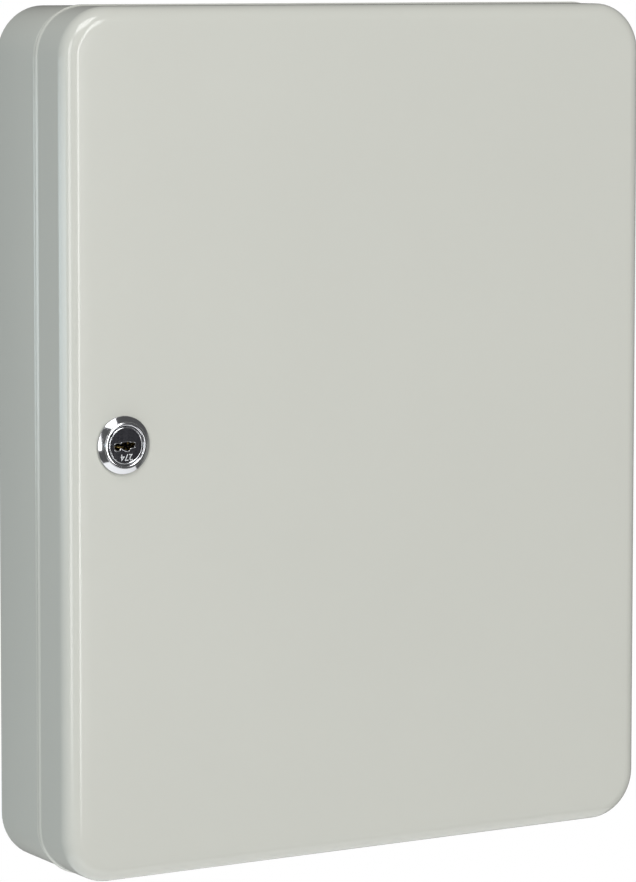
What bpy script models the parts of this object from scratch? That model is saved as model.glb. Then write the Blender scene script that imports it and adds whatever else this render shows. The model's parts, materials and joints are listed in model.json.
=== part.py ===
"""Key cabinet: a pressed steel wall case, a pan door on a long side hinge, a cam lock and ten hook rails.

Millimetres are written as N * MM, because Blender works in metres. The origin is the middle of the face
that touches the wall. X runs along the width, -Y is the front and +Z is up. The model is at rest: the door
is shut and the lock isn't turned yet.
"""

import math

import bmesh
import bpy
from mathutils import Matrix, Vector

MM = 0.001

# The cabinet as a whole
DOOR_WIDTH = 300 * MM
DOOR_HEIGHT = 380 * MM
DEPTH = 66.5 * MM
SHEET = 1.0 * MM
CORNER_RADIUS = 22.6 * MM
GAP = 0.3 * MM  # between pieces that rest on each other

# Door and case pans
DOOR_DEPTH = 27.5 * MM
SEAM = 1.0 * MM
DOOR_OVERHANG = 0.8 * MM
DOOR_FRONT_BEND = 7 * MM
DOOR_REAR_BEND = 2.5 * MM
DOOR_FLANGE = 8 * MM
CASE_BACK_BEND = 3 * MM
CASE_FRONT_BEND = 2 * MM
CASE_FLANGE = 9 * MM
WALL_HOLE_RADIUS = 3.25 * MM
WALL_HOLE_INSET_X = 30 * MM
WALL_HOLE_INSET_Z = 18 * MM

# Long hinge, its knuckles standing outside the right-hand side
HINGE_END = 40 * MM  # from each end of the door to the hinge
KNUCKLES = 15
KNUCKLE_RADIUS = 2.2 * MM
HINGE_PIN_RADIUS = 1.3 * MM
HINGE_LEAF = 0.8 * MM
HINGE_LEG = 10 * MM
PIN_HEAD = 1.0 * MM
NOTCH_CLEARANCE = 2 * MM

# Hook rails and the slotted columns they hang on
RAILS = 5
RAIL_PITCH = 60 * MM
TOP_RAIL_DROP = 38.5 * MM  # from the top of the door to the middle of the first rail
RAIL_SIDE_GAP = 12.6 * MM
RAIL_HEIGHT = 22 * MM
RAIL_PLATE = 2.0 * MM
HOOK_PITCH = 25 * MM
HOOK_END_MARGIN = 15 * MM
HOOK_WIDTH = 4.5 * MM
HOOK_REACH = 13 * MM
HOOK_THICKNESS = 1.8 * MM
HOOK_BEND = 1.0 * MM  # radius inside the hook's bend
HOOK_TIP = 4.2 * MM
LABEL_HEIGHT = 11.6 * MM
LABEL_THICKNESS = 0.5 * MM
LABEL_CLEARANCE = 0.2 * MM
LIP = 0.8 * MM
LIP_CATCH = 1.0 * MM
COLUMN_WIDTH = 12 * MM
COLUMN_STAND_OFF = 4 * MM
COLUMN_INSET = 28 * MM  # from the end of a rail to the middle of the column
COLUMN_END = 15 * MM
SLOTS_PER_RAIL = 3
SLOT_WIDTH = 7 * MM
SLOT_HEIGHT = 5 * MM
TAB_WIDTH = 6 * MM
TAB = 1.0 * MM
TAB_DROP = 2.6 * MM

# Cam lock
LOCK_INSET = 28 * MM
PLUG_RADIUS = 6.4 * MM
BARREL_WALL = 2.6 * MM
FLAT_WALL = 1.3 * MM  # what the two flats leave of the barrel's wall
HEAD_FLANGE = 3.3 * MM  # how far the head stands out round the barrel
HEAD_HEIGHT = 3.15 * MM
HEAD_EDGE = 0.6 * MM
COLLAR_SLOPE = 2.2 * MM
COLLAR_EASE = 0.5 * MM
FACE_FLANGE = 1.8 * MM  # how far the plug's face stands out round the plug
FACE_CLEARANCE = 0.25 * MM
FACE_SEAT = 1.2 * MM
FACE_EASE = 0.2 * MM
NUT_WALL = 2.7 * MM
LOCK_NUT_THICKNESS = 4 * MM
LOCK_WASHER_RIM = 3.2 * MM
LOCK_WASHER_THICKNESS = 0.8 * MM
WAFERS = 5
WAFER_PITCH = 3.6 * MM
WAFER_FIRST = 4.4 * MM  # the first wafer's depth behind the door's face
WAFER_END_CLEARANCE = 0.6 * MM  # from the end of a wafer to the round of the plug
WAFER_WIDTH = 4.4 * MM
WAFER_THICKNESS = 1.0 * MM
WAFER_SIDE = 0.9 * MM  # left beside the window for the blade
WAFER_SPRING_END = 2.2 * MM
WAFER_FREE_END = 1.4 * MM
KEYWAY_DEPTH = 24 * MM
TANG = 8 * MM
TANG_SHORT = 0.1 * MM  # so that the screw clamps the cam and not the tang
CAM_THICKNESS = 2 * MM
CAM_REACH = 23 * MM
CAM_WIDTH = 11 * MM
CAM_TIP_RADIUS = 2 * MM
CAM_HUB_RADIUS = 8 * MM
CAM_CLEARANCE = 0.4 * MM
STOP_WASHER_THICKNESS = 0.8 * MM
SPRING_WASHER_THICKNESS = 1.0 * MM
SPRING_WASHER_RADIUS = 4.6 * MM
CAM_SCREW_RADIUS = 1.7 * MM
CAM_SCREW_HEAD_RADIUS = 4.2 * MM
CAM_SCREW_HEAD = 2.4 * MM
CAM_SCREW_LENGTH = 7 * MM
DRIVER_SLOT = 1.0 * MM

# Keep plate that the cam turns behind, and the door's rubber buffers
KEEP_LENGTH = 50 * MM
KEEP_PLATE = 1.2 * MM
KEEP_LEG = 12 * MM
KEEP_SIDE_GAP = 0.6 * MM  # so that its corner clears the bend inside the flange
BUFFER_RADIUS = 2.6 * MM
BUFFER_STEM = 1.5 * MM
BUFFER_BARB = 0.8 * MM
BUFFER_TAIL = 3 * MM
LOWER_BUFFER_INSET = 71.5 * MM  # from the bottom of the door to the lower buffer
UPPER_BUFFER_INSET = 68.5 * MM  # from the top of the door to the upper one

# Sizes that follow from the ones above
CASE_WIDTH = DOOR_WIDTH - 2 * DOOR_OVERHANG
CASE_HEIGHT = DOOR_HEIGHT - 2 * DOOR_OVERHANG
CASE_DEPTH = DEPTH - DOOR_DEPTH - SEAM
CASE_FRONT_Y = -CASE_DEPTH
DOOR_REAR_Y = -(DEPTH - DOOR_DEPTH)
DOOR_FRONT_Y = -DEPTH
SEAM_Y = (CASE_FRONT_Y + DOOR_REAR_Y) / 2
HINGE_X = DOOR_WIDTH / 2 + GAP + KNUCKLE_RADIUS
HINGE_LENGTH = DOOR_HEIGHT - 2 * HINGE_END
RAIL_LENGTH = CASE_WIDTH - 2 * CASE_FLANGE - 2 * RAIL_SIDE_GAP
HOOKS = int((RAIL_LENGTH - 2 * HOOK_END_MARGIN) / HOOK_PITCH + 1e-6) + 1
RAIL_Z = [DOOR_HEIGHT / 2 - TOP_RAIL_DROP - i * RAIL_PITCH for i in range(RAILS)]
COLUMN_X = RAIL_LENGTH / 2 - COLUMN_INSET
COLUMN_HEIGHT = (RAILS - 1) * RAIL_PITCH + RAIL_HEIGHT + 2 * COLUMN_END
COLUMN_Z = (RAIL_Z[0] + RAIL_Z[-1]) / 2
RAIL_BACK = GAP + COLUMN_STAND_OFF + SHEET + GAP  # from a pan's inner face to the back of a rail
LOCK_X = -DOOR_WIDTH / 2 + LOCK_INSET
LOCK_Z = RAIL_Z[RAILS // 2] - RAIL_PITCH / 2  # midway between two rails, so the nut clears them
KEEP_REAR_Y = CASE_FRONT_Y + SHEET + GAP + KEEP_PLATE
BUFFER_X = -CASE_WIDTH / 2 + (CASE_FRONT_BEND + CASE_FLANGE) / 2
BUFFER_Z = (LOWER_BUFFER_INSET - DOOR_HEIGHT / 2, DOOR_HEIGHT / 2 - UPPER_BUFFER_INSET)
BARREL_RADIUS = PLUG_RADIUS + GAP + BARREL_WALL
BARREL_HALF_FLATS = PLUG_RADIUS + GAP + FLAT_WALL
HEAD_RADIUS = BARREL_RADIUS + HEAD_FLANGE
FACE_RADIUS = PLUG_RADIUS + FACE_FLANGE
WAFER_LENGTH = 2 * (PLUG_RADIUS - WAFER_END_CLEARANCE)
WAFER_HEIGHTS = [-WAFER_FIRST - i * WAFER_PITCH for i in range(WAFERS)]

# Heights along the lock, measured outwards from the face of the door
CAM_FRONT = -(DEPTH + KEEP_REAR_Y + CAM_CLEARANCE)
CAM_REAR = CAM_FRONT - CAM_THICKNESS
STOP_WASHER_REAR = CAM_FRONT + GAP
BARREL_END = STOP_WASHER_REAR + STOP_WASHER_THICKNESS + GAP
HEAD_SEAT = GAP

# Colours of the finishes: red, green, blue, then metallic and roughness
FINISHES = {
    "enamelled_steel": ((0.61, 0.62, 0.57), 0.0, 0.32),
    "zinc_plated_steel": ((0.62, 0.63, 0.62), 1.0, 0.35),
    "chrome": ((0.86, 0.87, 0.88), 1.0, 0.08),
    "black_nickel": ((0.03, 0.03, 0.04), 0.6, 0.2),
    "brass": ((0.78, 0.60, 0.27), 1.0, 0.25),
    "hook_plastic": ((0.45, 0.47, 0.47), 0.0, 0.45),
    "label_card": ((0.90, 0.90, 0.87), 0.0, 0.8),
    "buffer_rubber": ((0.05, 0.05, 0.05), 0.0, 0.8),
}

CORNER_STEPS = 6
BEND_STEPS = 4
ROUND_STEPS = 28
KNUCKLE_STEPS = 14


def clear_scene():
    for obj in list(bpy.data.objects):
        bpy.data.objects.remove(obj)


def new_collection(name, hidden=False):
    collection = bpy.data.collections.new(name)
    bpy.context.scene.collection.children.link(collection)
    collection.hide_render = hidden
    return collection


def finish(name):
    """The material of one finish, made once."""
    if name in bpy.data.materials:
        return bpy.data.materials[name]
    colour, metallic, roughness = FINISHES[name]
    material = bpy.data.materials.new(name)
    material.use_nodes = True
    shader = material.node_tree.nodes["Principled BSDF"]
    shader.inputs["Base Color"].default_value = (*colour, 1)
    shader.inputs["Metallic"].default_value = metallic
    shader.inputs["Roughness"].default_value = roughness
    return material


def place(obj, material=None, parent=None, smooth_below=30):
    """Puts a part in the cabinet's collection with its finish; a part with no finish is a cutter.

    A part drawn in the cabinet's axes stays where it is; a part of the lock is drawn in the lock's axes.
    """
    if material:
        PARTS.objects.link(obj)
        obj.data.materials.clear()
        obj.data.materials.append(finish(material))
    else:
        CUTTERS.objects.link(obj)
        obj.hide_render = True
        obj.display_type = "WIRE"
    if parent:
        obj.parent = parent
        if "lock" not in parent.name:
            obj.matrix_parent_inverse = parent.matrix_world.inverted()
    if obj.type == "MESH":
        obj.data.shade_smooth()
        obj.data.set_sharp_from_angle(angle=math.radians(smooth_below))
    return obj


def mesh_object(name, bm):
    mesh = bpy.data.meshes.new(name)
    bm.to_mesh(mesh)
    bm.free()
    return bpy.data.objects.new(name, mesh)


def boxes(name, spans):
    """One mesh of boxes, each given as ((x0, x1), (y0, y1), (z0, z1))."""
    bm = bmesh.new()
    for span in spans:
        low = Vector([min(pair) for pair in span])
        high = Vector([max(pair) for pair in span])
        shape = Matrix.Translation((low + high) / 2) @ Matrix.Diagonal((*(high - low), 1))
        bmesh.ops.create_cube(bm, size=1.0, matrix=shape)
    return mesh_object(name, bm)


def cylinders(name, radius, length, matrices, steps=ROUND_STEPS):
    """One mesh of equal cylinders, each along the local Z of its matrix and centred on it."""
    bm = bmesh.new()
    for matrix in matrices:
        bmesh.ops.create_cone(
            bm, cap_ends=True, segments=steps, radius1=radius, radius2=radius, depth=length, matrix=matrix
        )
    return mesh_object(name, bm)


def turned(name, profile, steps=ROUND_STEPS, closed=False):
    """A profile of (radius, height), down the outer side, turned about Z; a closed one has a bore."""
    bm = bmesh.new()
    points = [bm.verts.new((radius, 0, height)) for radius, height in profile]
    pairs = list(zip(points, points[1:]))
    if closed:
        pairs.append((points[-1], points[0]))
    for pair in pairs:
        bm.edges.new(pair)
    obj = mesh_object(name, bm)
    screw = obj.modifiers.new("Turn", "SCREW")
    screw.steps = steps
    screw.render_steps = steps
    screw.use_merge_vertices = True
    screw.merge_threshold = 0.00001
    screw.use_smooth_shade = True
    return obj


def ring(name, inner, outer, low, high, steps=ROUND_STEPS):
    return turned(name, [(inner, high), (outer, high), (outer, low), (inner, low)], steps, closed=True)


def arc(centre, radius, start, end, steps):
    """Points on a circle from one angle to another, in degrees."""
    angles = [math.radians(start + (end - start) * i / steps) for i in range(steps + 1)]
    return [(centre[0] + radius * math.cos(a), centre[1] + radius * math.sin(a)) for a in angles]


def extruded(name, outline, thickness):
    """A flat outline in local XY, as thick as given along local Z and centred on it, as a closed mesh."""
    curve = bpy.data.curves.new(name, "CURVE")
    curve.dimensions = "2D"
    curve.fill_mode = "BOTH"
    curve.extrude = thickness / 2
    spline = curve.splines.new("POLY")
    spline.points.add(len(outline) - 1)
    for point, (x, y) in zip(spline.points, outline):
        point.co = (x, y, 0, 1)
    spline.use_cyclic_u = True
    drawn = bpy.data.objects.new(name + "_outline", curve)
    bpy.context.scene.collection.objects.link(drawn)
    return solid_copy(drawn, name)


def solid_copy(source, name):
    """The evaluated shape of an object as a new mesh object, its seams welded; the source is removed."""
    bpy.context.view_layer.update()
    evaluated = source.evaluated_get(bpy.context.evaluated_depsgraph_get())
    mesh = bpy.data.meshes.new_from_object(evaluated)
    mesh.name = name
    bm = bmesh.new()
    bm.from_mesh(mesh)
    bmesh.ops.remove_doubles(bm, verts=bm.verts, dist=0.000001)
    bmesh.ops.recalc_face_normals(bm, faces=bm.faces)
    bm.to_mesh(mesh)
    bm.free()
    obj = bpy.data.objects.new(name, mesh)
    obj.matrix_world = source.matrix_world
    bpy.data.objects.remove(source)
    return obj


def repeated(name, source, offsets):
    """One mesh that holds a copy of the source mesh at each offset."""
    bm = bmesh.new()
    for offset in offsets:
        first = len(bm.verts)
        bm.from_mesh(source.data)
        bm.verts.ensure_lookup_table()
        bmesh.ops.translate(bm, vec=offset, verts=bm.verts[first:])
    return mesh_object(name, bm)


def combine(obj, operation, tool):
    modifier = obj.modifiers.new(operation.title(), "BOOLEAN")
    modifier.operation = operation
    modifier.solver = "EXACT"
    modifier.object = tool
    return obj


def cut(obj, tool, parent=None):
    return combine(obj, "DIFFERENCE", place(tool, parent=parent))


def join(obj, tool, parent=None):
    return combine(obj, "UNION", place(tool, parent=parent))


def empty(name, matrix, parent=None):
    """An axis for a group of parts that move as one."""
    obj = bpy.data.objects.new(name, None)
    PARTS.objects.link(obj)
    obj.matrix_world = matrix
    bpy.context.view_layer.update()
    if parent:
        obj.parent = parent
        obj.matrix_parent_inverse = parent.matrix_world.inverted()
    return obj


def pan(name, width, height, corner, closed_y, open_y, closed_bend, rim_bend, rim):
    """A pressed pan: a block with rounded edges and rims, opened inside its flange and given its wall."""
    bm = bmesh.new()
    shape = Matrix.Diagonal((width, abs(open_y - closed_y), height, 1))
    shape = Matrix.Translation((0, (closed_y + open_y) / 2, 0)) @ shape
    bmesh.ops.create_cube(bm, size=1.0, matrix=shape)
    long_edges = [e for e in bm.edges if abs(e.verts[0].co.y - e.verts[1].co.y) > rim_bend]
    round_off(bm, long_edges, corner, CORNER_STEPS)
    for y, bend in ((closed_y, closed_bend), (open_y, rim_bend)):
        rim_edges = [e for e in bm.edges if all(abs(v.co.y - y) < 1e-6 for v in e.verts)]
        round_off(bm, rim_edges, bend, BEND_STEPS)
    mouth = [f for f in bm.faces if all(abs(v.co.y - open_y) < 1e-6 for v in f.verts)]
    bmesh.ops.inset_region(bm, faces=mouth, thickness=rim - rim_bend, use_even_offset=True)
    bmesh.ops.delete(bm, geom=mouth, context="FACES_ONLY")
    obj = mesh_object(name, bm)
    wall = obj.modifiers.new("Wall", "SOLIDIFY")
    wall.thickness = SHEET
    wall.offset = -1
    wall.use_even_offset = True
    return obj


def round_off(bm, edges, radius, steps):
    bmesh.ops.bevel(
        bm, geom=edges, offset=radius, offset_type="OFFSET", segments=steps, profile=0.5, affect="EDGES"
    )


def along_y(x, z, y=0.0):
    """A matrix whose local Z points to the front (-Y), at this place."""
    return Matrix.Translation((x, y, z)) @ Matrix.Rotation(math.radians(90), 4, "X")


def hinge_notch(name, wall_x, flange, edge_y, bend):
    """Box that takes a pan's flange and bend off along the hinge; bend is signed, away from the edge."""
    half = HINGE_LENGTH / 2 + PIN_HEAD + 2 * GAP
    past_edge = edge_y - math.copysign(NOTCH_CLEARANCE, bend)
    across = (wall_x - flange - NOTCH_CLEARANCE, wall_x + NOTCH_CLEARANCE)
    return boxes(name, [(across, (past_edge, edge_y + bend), (-half, half))])


def make_case(root):
    case = pan(
        "case_shell", CASE_WIDTH, CASE_HEIGHT, CORNER_RADIUS - DOOR_OVERHANG, 0, CASE_FRONT_Y,
        CASE_BACK_BEND, CASE_FRONT_BEND, CASE_FLANGE,
    )
    hole_x = CASE_WIDTH / 2 - WALL_HOLE_INSET_X
    hole_z = CASE_HEIGHT / 2 - WALL_HOLE_INSET_Z
    holes = [along_y(x, z) for x in (-hole_x, hole_x) for z in (-hole_z, hole_z)]
    cut(case, cylinders("wall_holes", WALL_HOLE_RADIUS, 6 * SHEET, holes, steps=16))
    notch = hinge_notch("case_hinge_notch", CASE_WIDTH / 2, CASE_FLANGE, CASE_FRONT_Y, CASE_FRONT_BEND)
    cut(case, notch)
    stems = [along_y(BUFFER_X, z, CASE_FRONT_Y) for z in BUFFER_Z]
    cut(case, cylinders("buffer_holes", BUFFER_STEM + GAP, 6 * SHEET, stems, steps=12))
    place(case, "enamelled_steel", root)


def make_door(root):
    door = pan(
        "door_shell", DOOR_WIDTH, DOOR_HEIGHT, CORNER_RADIUS, DOOR_FRONT_Y, DOOR_REAR_Y,
        DOOR_FRONT_BEND, DOOR_REAR_BEND, DOOR_FLANGE,
    )
    notch = hinge_notch("door_hinge_notch", DOOR_WIDTH / 2, DOOR_FLANGE, DOOR_REAR_Y, -DOOR_REAR_BEND)
    cut(door, notch)
    hole = extruded("lock_hole", double_d(BARREL_RADIUS + GAP, BARREL_HALF_FLATS + GAP), 8 * SHEET)
    hole.matrix_world = along_y(LOCK_X, LOCK_Z, DOOR_FRONT_Y)
    cut(door, hole)
    place(door, "enamelled_steel", root)


def double_d(radius, half_flats):
    """A circle with two flats, above and below."""
    side = math.degrees(math.asin(half_flats / radius))
    return arc((0, 0), radius, -side, side, 8) + arc((0, 0), radius, 180 - side, 180 + side, 8)


def hinge_leaf(name, inner_wall_x, side, first, root):
    """An angle leaf: a leg in the seam, one along the pan's inner wall, and every other knuckle.

    side is +1 for the case, whose leaf lies behind the pin's axis, and -1 for the door.
    """
    inner_y = SEAM_Y + side * GAP / 2
    outer_y = inner_y + side * HINGE_LEAF
    leg_end_y = outer_y + side * HINGE_LEG
    outer_x = inner_wall_x - GAP
    inner_x = outer_x - HINGE_LEAF
    outline = [
        (HINGE_X, inner_y), (HINGE_X, outer_y), (outer_x, outer_y),
        (outer_x, leg_end_y), (inner_x, leg_end_y), (inner_x, inner_y),
    ]
    leaf = extruded(name, outline, HINGE_LENGTH)
    barrel = Matrix.Translation((HINGE_X, SEAM_Y, 0))
    join(leaf, cylinders(name + "_roll", KNUCKLE_RADIUS, HINGE_LENGTH, [barrel], KNUCKLE_STEPS))
    bore = HINGE_PIN_RADIUS + GAP
    cut(leaf, cylinders(name + "_bore", bore, 2 * HINGE_LENGTH, [barrel], KNUCKLE_STEPS))
    pitch = HINGE_LENGTH / KNUCKLES
    reach = KNUCKLE_RADIUS + GAP
    spans = []
    for i in range(1 - first, KNUCKLES, 2):
        low = -HINGE_LENGTH / 2 + i * pitch - GAP / 2
        across = (SEAM_Y - 2 * reach, SEAM_Y + 2 * reach)
        spans.append(((HINGE_X - reach, HINGE_X + 2 * reach), across, (low, low + pitch + GAP)))
    cut(leaf, boxes(name + "_gaps", spans))
    place(leaf, "zinc_plated_steel", root)


def make_hinge(case_root, door_root):
    hinge_leaf("case_hinge_leaf", CASE_WIDTH / 2 - SHEET, 1, 0, case_root)
    hinge_leaf("door_hinge_leaf", DOOR_WIDTH / 2 - SHEET, -1, 1, door_root)
    half = HINGE_LENGTH / 2 + GAP
    head = half + PIN_HEAD
    head_radius = (HINGE_PIN_RADIUS + KNUCKLE_RADIUS) / 2
    pin = turned(
        "hinge_pin",
        [(0, head), (head_radius, head), (head_radius, half), (HINGE_PIN_RADIUS, half),
         (HINGE_PIN_RADIUS, -half), (head_radius, -half), (head_radius, -head), (0, -head)],
        KNUCKLE_STEPS,
    )
    pin.location = (HINGE_X, SEAM_Y, 0)
    place(pin, "zinc_plated_steel", case_root)


def facing(side):
    """Turns a rail's axes (out of the pan, up, along) to the cabinet's; side -1 faces the front."""
    out = Vector((0, side, 0))
    up = Vector((0, 0, 1))
    return Matrix((out, up, out.cross(up))).transposed().to_4x4()


def rail_section():
    """Section of a rail (out, up): a plate with two lips that hold the label strip."""
    top = RAIL_HEIGHT / 2
    slot_top = top - LIP
    slot_low = slot_top - LABEL_HEIGHT - 2 * LABEL_CLEARANCE
    slot_front = RAIL_PLATE + LABEL_THICKNESS + 2 * LABEL_CLEARANCE
    front = slot_front + LIP
    return [
        (0, -top), (RAIL_PLATE, -top), (RAIL_PLATE, slot_low - LIP), (front, slot_low - LIP),
        (front, slot_low + LIP_CATCH), (slot_front, slot_low + LIP_CATCH), (slot_front, slot_low),
        (RAIL_PLATE, slot_low), (RAIL_PLATE, slot_top), (slot_front, slot_top),
        (slot_front, slot_top - LIP_CATCH), (front, slot_top - LIP_CATCH), (front, top), (0, top),
    ]


def hook_section():
    """Section of a hook (out, up): a level arm that turns up into a tip."""
    low = -RAIL_HEIGHT / 2 + HOOK_THICKNESS
    reach = RAIL_PLATE + HOOK_REACH
    outer = HOOK_BEND + HOOK_THICKNESS
    centre = (reach - outer, low + outer)
    root = RAIL_PLATE / 2
    tip = centre[1] + HOOK_TIP
    crown = HOOK_THICKNESS / 3
    return (
        [(root, low)] + arc(centre, outer, -90, 0, 3)
        + [(reach, tip - crown), (reach - crown, tip), (reach - HOOK_THICKNESS + crown, tip)]
        + [(reach - HOOK_THICKNESS, tip - crown)] + arc(centre, HOOK_BEND, 0, -90, 2)
        + [(root, low + HOOK_THICKNESS)]
    )


def tab_section():
    """Section of a rear tab (out, up): it passes back through a column's slot and drops behind the web."""
    rear = -(GAP + SHEET + GAP + TAB)
    return [
        (RAIL_PLATE / 2, 0), (RAIL_PLATE / 2, TAB), (rear, TAB),
        (rear, -TAB_DROP), (rear + TAB, -TAB_DROP), (rear + TAB, 0),
    ]


def rail_mesh():
    """The one mesh that all the rails share, in a rail's own axes (out, up, along)."""
    rail = extruded("rail", rail_section(), RAIL_LENGTH)
    span = (HOOKS - 1) * HOOK_PITCH
    hook = extruded("hook", hook_section(), HOOK_WIDTH)
    tab = extruded("tab", tab_section(), TAB_WIDTH)
    join(rail, repeated("hooks", hook, [Vector((0, 0, i * HOOK_PITCH - span / 2)) for i in range(HOOKS)]))
    join(rail, repeated("tabs", tab, [Vector((0, 0, x)) for x in (-COLUMN_X, COLUMN_X)]))
    for shape in (hook, tab):
        bpy.data.objects.remove(shape)
    PARTS.objects.link(rail)
    return solid_copy(rail, "hook_rail")


def label_mesh():
    """The one mesh that all the label strips share, in a rail's own axes."""
    middle = RAIL_HEIGHT / 2 - LIP - LABEL_CLEARANCE - LABEL_HEIGHT / 2
    out = RAIL_PLATE + LABEL_CLEARANCE
    up = (middle - LABEL_HEIGHT / 2, middle + LABEL_HEIGHT / 2)
    return boxes("label_strip", [((out, out + LABEL_THICKNESS), up, (-RAIL_LENGTH / 2, RAIL_LENGTH / 2))])


def column_mesh():
    """The one mesh that all the columns share: a channel, open to the pan, slotted in its web."""
    half = COLUMN_WIDTH / 2
    back = GAP
    web = GAP + COLUMN_STAND_OFF
    outline = [
        (-half, back), (-half + SHEET, back), (-half + SHEET, web), (half - SHEET, web),
        (half - SHEET, back), (half, back), (half, web + SHEET), (-half, web + SHEET),
    ]
    column = extruded("column", outline, COLUMN_HEIGHT)
    spans = []
    for i in range((RAILS - 1) * SLOTS_PER_RAIL + 1):
        low = RAIL_Z[-1] - COLUMN_Z + i * RAIL_PITCH / SLOTS_PER_RAIL - GAP
        through = (web - SHEET, web + 2 * SHEET)
        spans.append(((-SLOT_WIDTH / 2, SLOT_WIDTH / 2), through, (low, low + SLOT_HEIGHT)))
    cut(column, boxes("column_slots", spans))
    PARTS.objects.link(column)
    return solid_copy(column, "column_shared")


def make_rails(case_root, door_root):
    rail = rail_mesh()
    label = label_mesh()
    column = column_mesh()
    inner_face = {"case": -SHEET, "door": DOOR_FRONT_Y + SHEET}
    for pan_name, side, root in (("case", -1, case_root), ("door", 1, door_root)):
        back_y = inner_face[pan_name] + side * RAIL_BACK
        for i, z in enumerate(RAIL_Z, start=1):
            at = Matrix.Translation((0, back_y, z)) @ facing(side)
            put_copy(rail, f"{pan_name}_hook_rail_{i}", at, "hook_plastic", root)
            put_copy(label, f"{pan_name}_label_strip_{i}", at, "label_card", root)
        turn = Matrix.Rotation(math.radians(0 if side > 0 else 180), 4, "Z")
        for hand, x in (("left", -COLUMN_X), ("right", COLUMN_X)):
            at = Matrix.Translation((x, inner_face[pan_name], COLUMN_Z)) @ turn
            put_copy(column, f"{pan_name}_{hand}_column", at, "zinc_plated_steel", root)
    for shape in (rail, label, column):
        bpy.data.objects.remove(shape)


def put_copy(source, name, matrix, material, root):
    """A new object on the shared mesh of the source."""
    obj = bpy.data.objects.new(name, source.data)
    obj.matrix_world = matrix
    place(obj, material, root)


def make_keep(root):
    """Angle plate behind the case's left flange, which the cam turns behind."""
    left = -CASE_WIDTH / 2 + SHEET + KEEP_SIDE_GAP
    right = -CASE_WIDTH / 2 + CASE_FLANGE
    front = CASE_FRONT_Y + SHEET + GAP
    outline = [
        (left, front), (right, front), (right, front + KEEP_PLATE),
        (left + KEEP_PLATE, front + KEEP_PLATE), (left + KEEP_PLATE, front + KEEP_LEG),
        (left, front + KEEP_LEG),
    ]
    keep = extruded("lock_keep", outline, KEEP_LENGTH)
    keep.location.z = LOCK_Z
    place(keep, "zinc_plated_steel", root)


def make_buffers(root):
    """Push-in rubber buffers in the case's left flange, which the door's flange closes on."""
    head = SEAM - 2 * GAP
    front = GAP + head
    rear = -(SHEET + GAP)
    tail = rear - BUFFER_TAIL
    profile = [
        (0, front), (BUFFER_RADIUS - head / 2, front), (BUFFER_RADIUS, front - head / 2),
        (BUFFER_RADIUS, GAP), (BUFFER_STEM, GAP), (BUFFER_STEM, rear),
        (BUFFER_STEM + BUFFER_BARB, rear - BUFFER_BARB / 2), (BUFFER_STEM - BUFFER_BARB, tail), (0, tail),
    ]
    for name, z in zip(("lower_buffer", "upper_buffer"), BUFFER_Z):
        buffer = turned(name, profile, 16)
        buffer.matrix_world = along_y(BUFFER_X, z, CASE_FRONT_Y)
        place(buffer, "buffer_rubber", root)


def make_lock_housing(lock):
    """Chrome head and barrel in one casting, bored for the plug; two flats stop it turning in the door."""
    bore = PLUG_RADIUS + GAP
    recess = FACE_RADIUS + FACE_CLEARANCE
    rim = HEAD_RADIUS - COLLAR_SLOPE
    profile = [
        (recess, HEAD_HEIGHT - FACE_EASE), (recess + COLLAR_EASE, HEAD_HEIGHT),
        (rim - COLLAR_EASE, HEAD_HEIGHT - FACE_EASE), (rim, HEAD_HEIGHT - COLLAR_EASE),
        (HEAD_RADIUS, HEAD_SEAT + HEAD_EDGE), (HEAD_RADIUS, HEAD_SEAT), (BARREL_RADIUS, HEAD_SEAT),
        (BARREL_RADIUS, BARREL_END), (bore, BARREL_END), (bore, FACE_SEAT), (recess, FACE_SEAT),
    ]
    housing = turned("lock_housing", profile, closed=True)
    past = 2 * BARREL_RADIUS
    spans = []
    for side in (-1, 1):
        spans.append(((-past, past), (side * BARREL_HALF_FLATS, side * past), (BARREL_END - MM, HEAD_SEAT)))
    cut(housing, boxes("barrel_flats", spans), lock)
    place(housing, "chrome", lock)


def make_lock_fixings(lock):
    """Toothed washer and hexagon nut that clamp the barrel to the door."""
    bore = BARREL_RADIUS + GAP
    seat = -SHEET - GAP
    under = seat - LOCK_WASHER_THICKNESS
    washer = ring("lock_washer", bore, BARREL_RADIUS + LOCK_WASHER_RIM, under, seat)
    place(washer, "zinc_plated_steel", lock)
    corner = (BARREL_RADIUS + NUT_WALL) / math.cos(math.radians(30))
    middle = Matrix.Translation((0, 0, under - GAP - LOCK_NUT_THICKNESS / 2))
    nut = cylinders("lock_nut", corner, LOCK_NUT_THICKNESS, [middle], steps=6)
    cut(nut, cylinders("nut_bore", bore, 4 * LOCK_NUT_THICKNESS, [middle]), lock)
    place(nut, "zinc_plated_steel", lock)


def keyway_outline():
    """The keyway: a wide left end, where the first wafer shows, then a warded slot with a lower lobe."""
    upper = [
        (-5.5, 0.5), (-4.8, 1.0), (-3.0, 1.0), (-2.3, 0.6), (-1.9, 1.3), (2.0, 1.5), (2.4, 1.1), (4.5, 1.2),
    ]
    lower = [
        (4.5, -1.0), (2.2, -1.1), (1.5, -2.5), (0.6, -2.4), (-1.0, -1.8), (-2.3, -0.9), (-3.2, -2.0),
        (-4.8, -2.0), (-5.5, -1.2),
    ]
    return [(x * MM, y * MM) for x, y in upper + lower]


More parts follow.
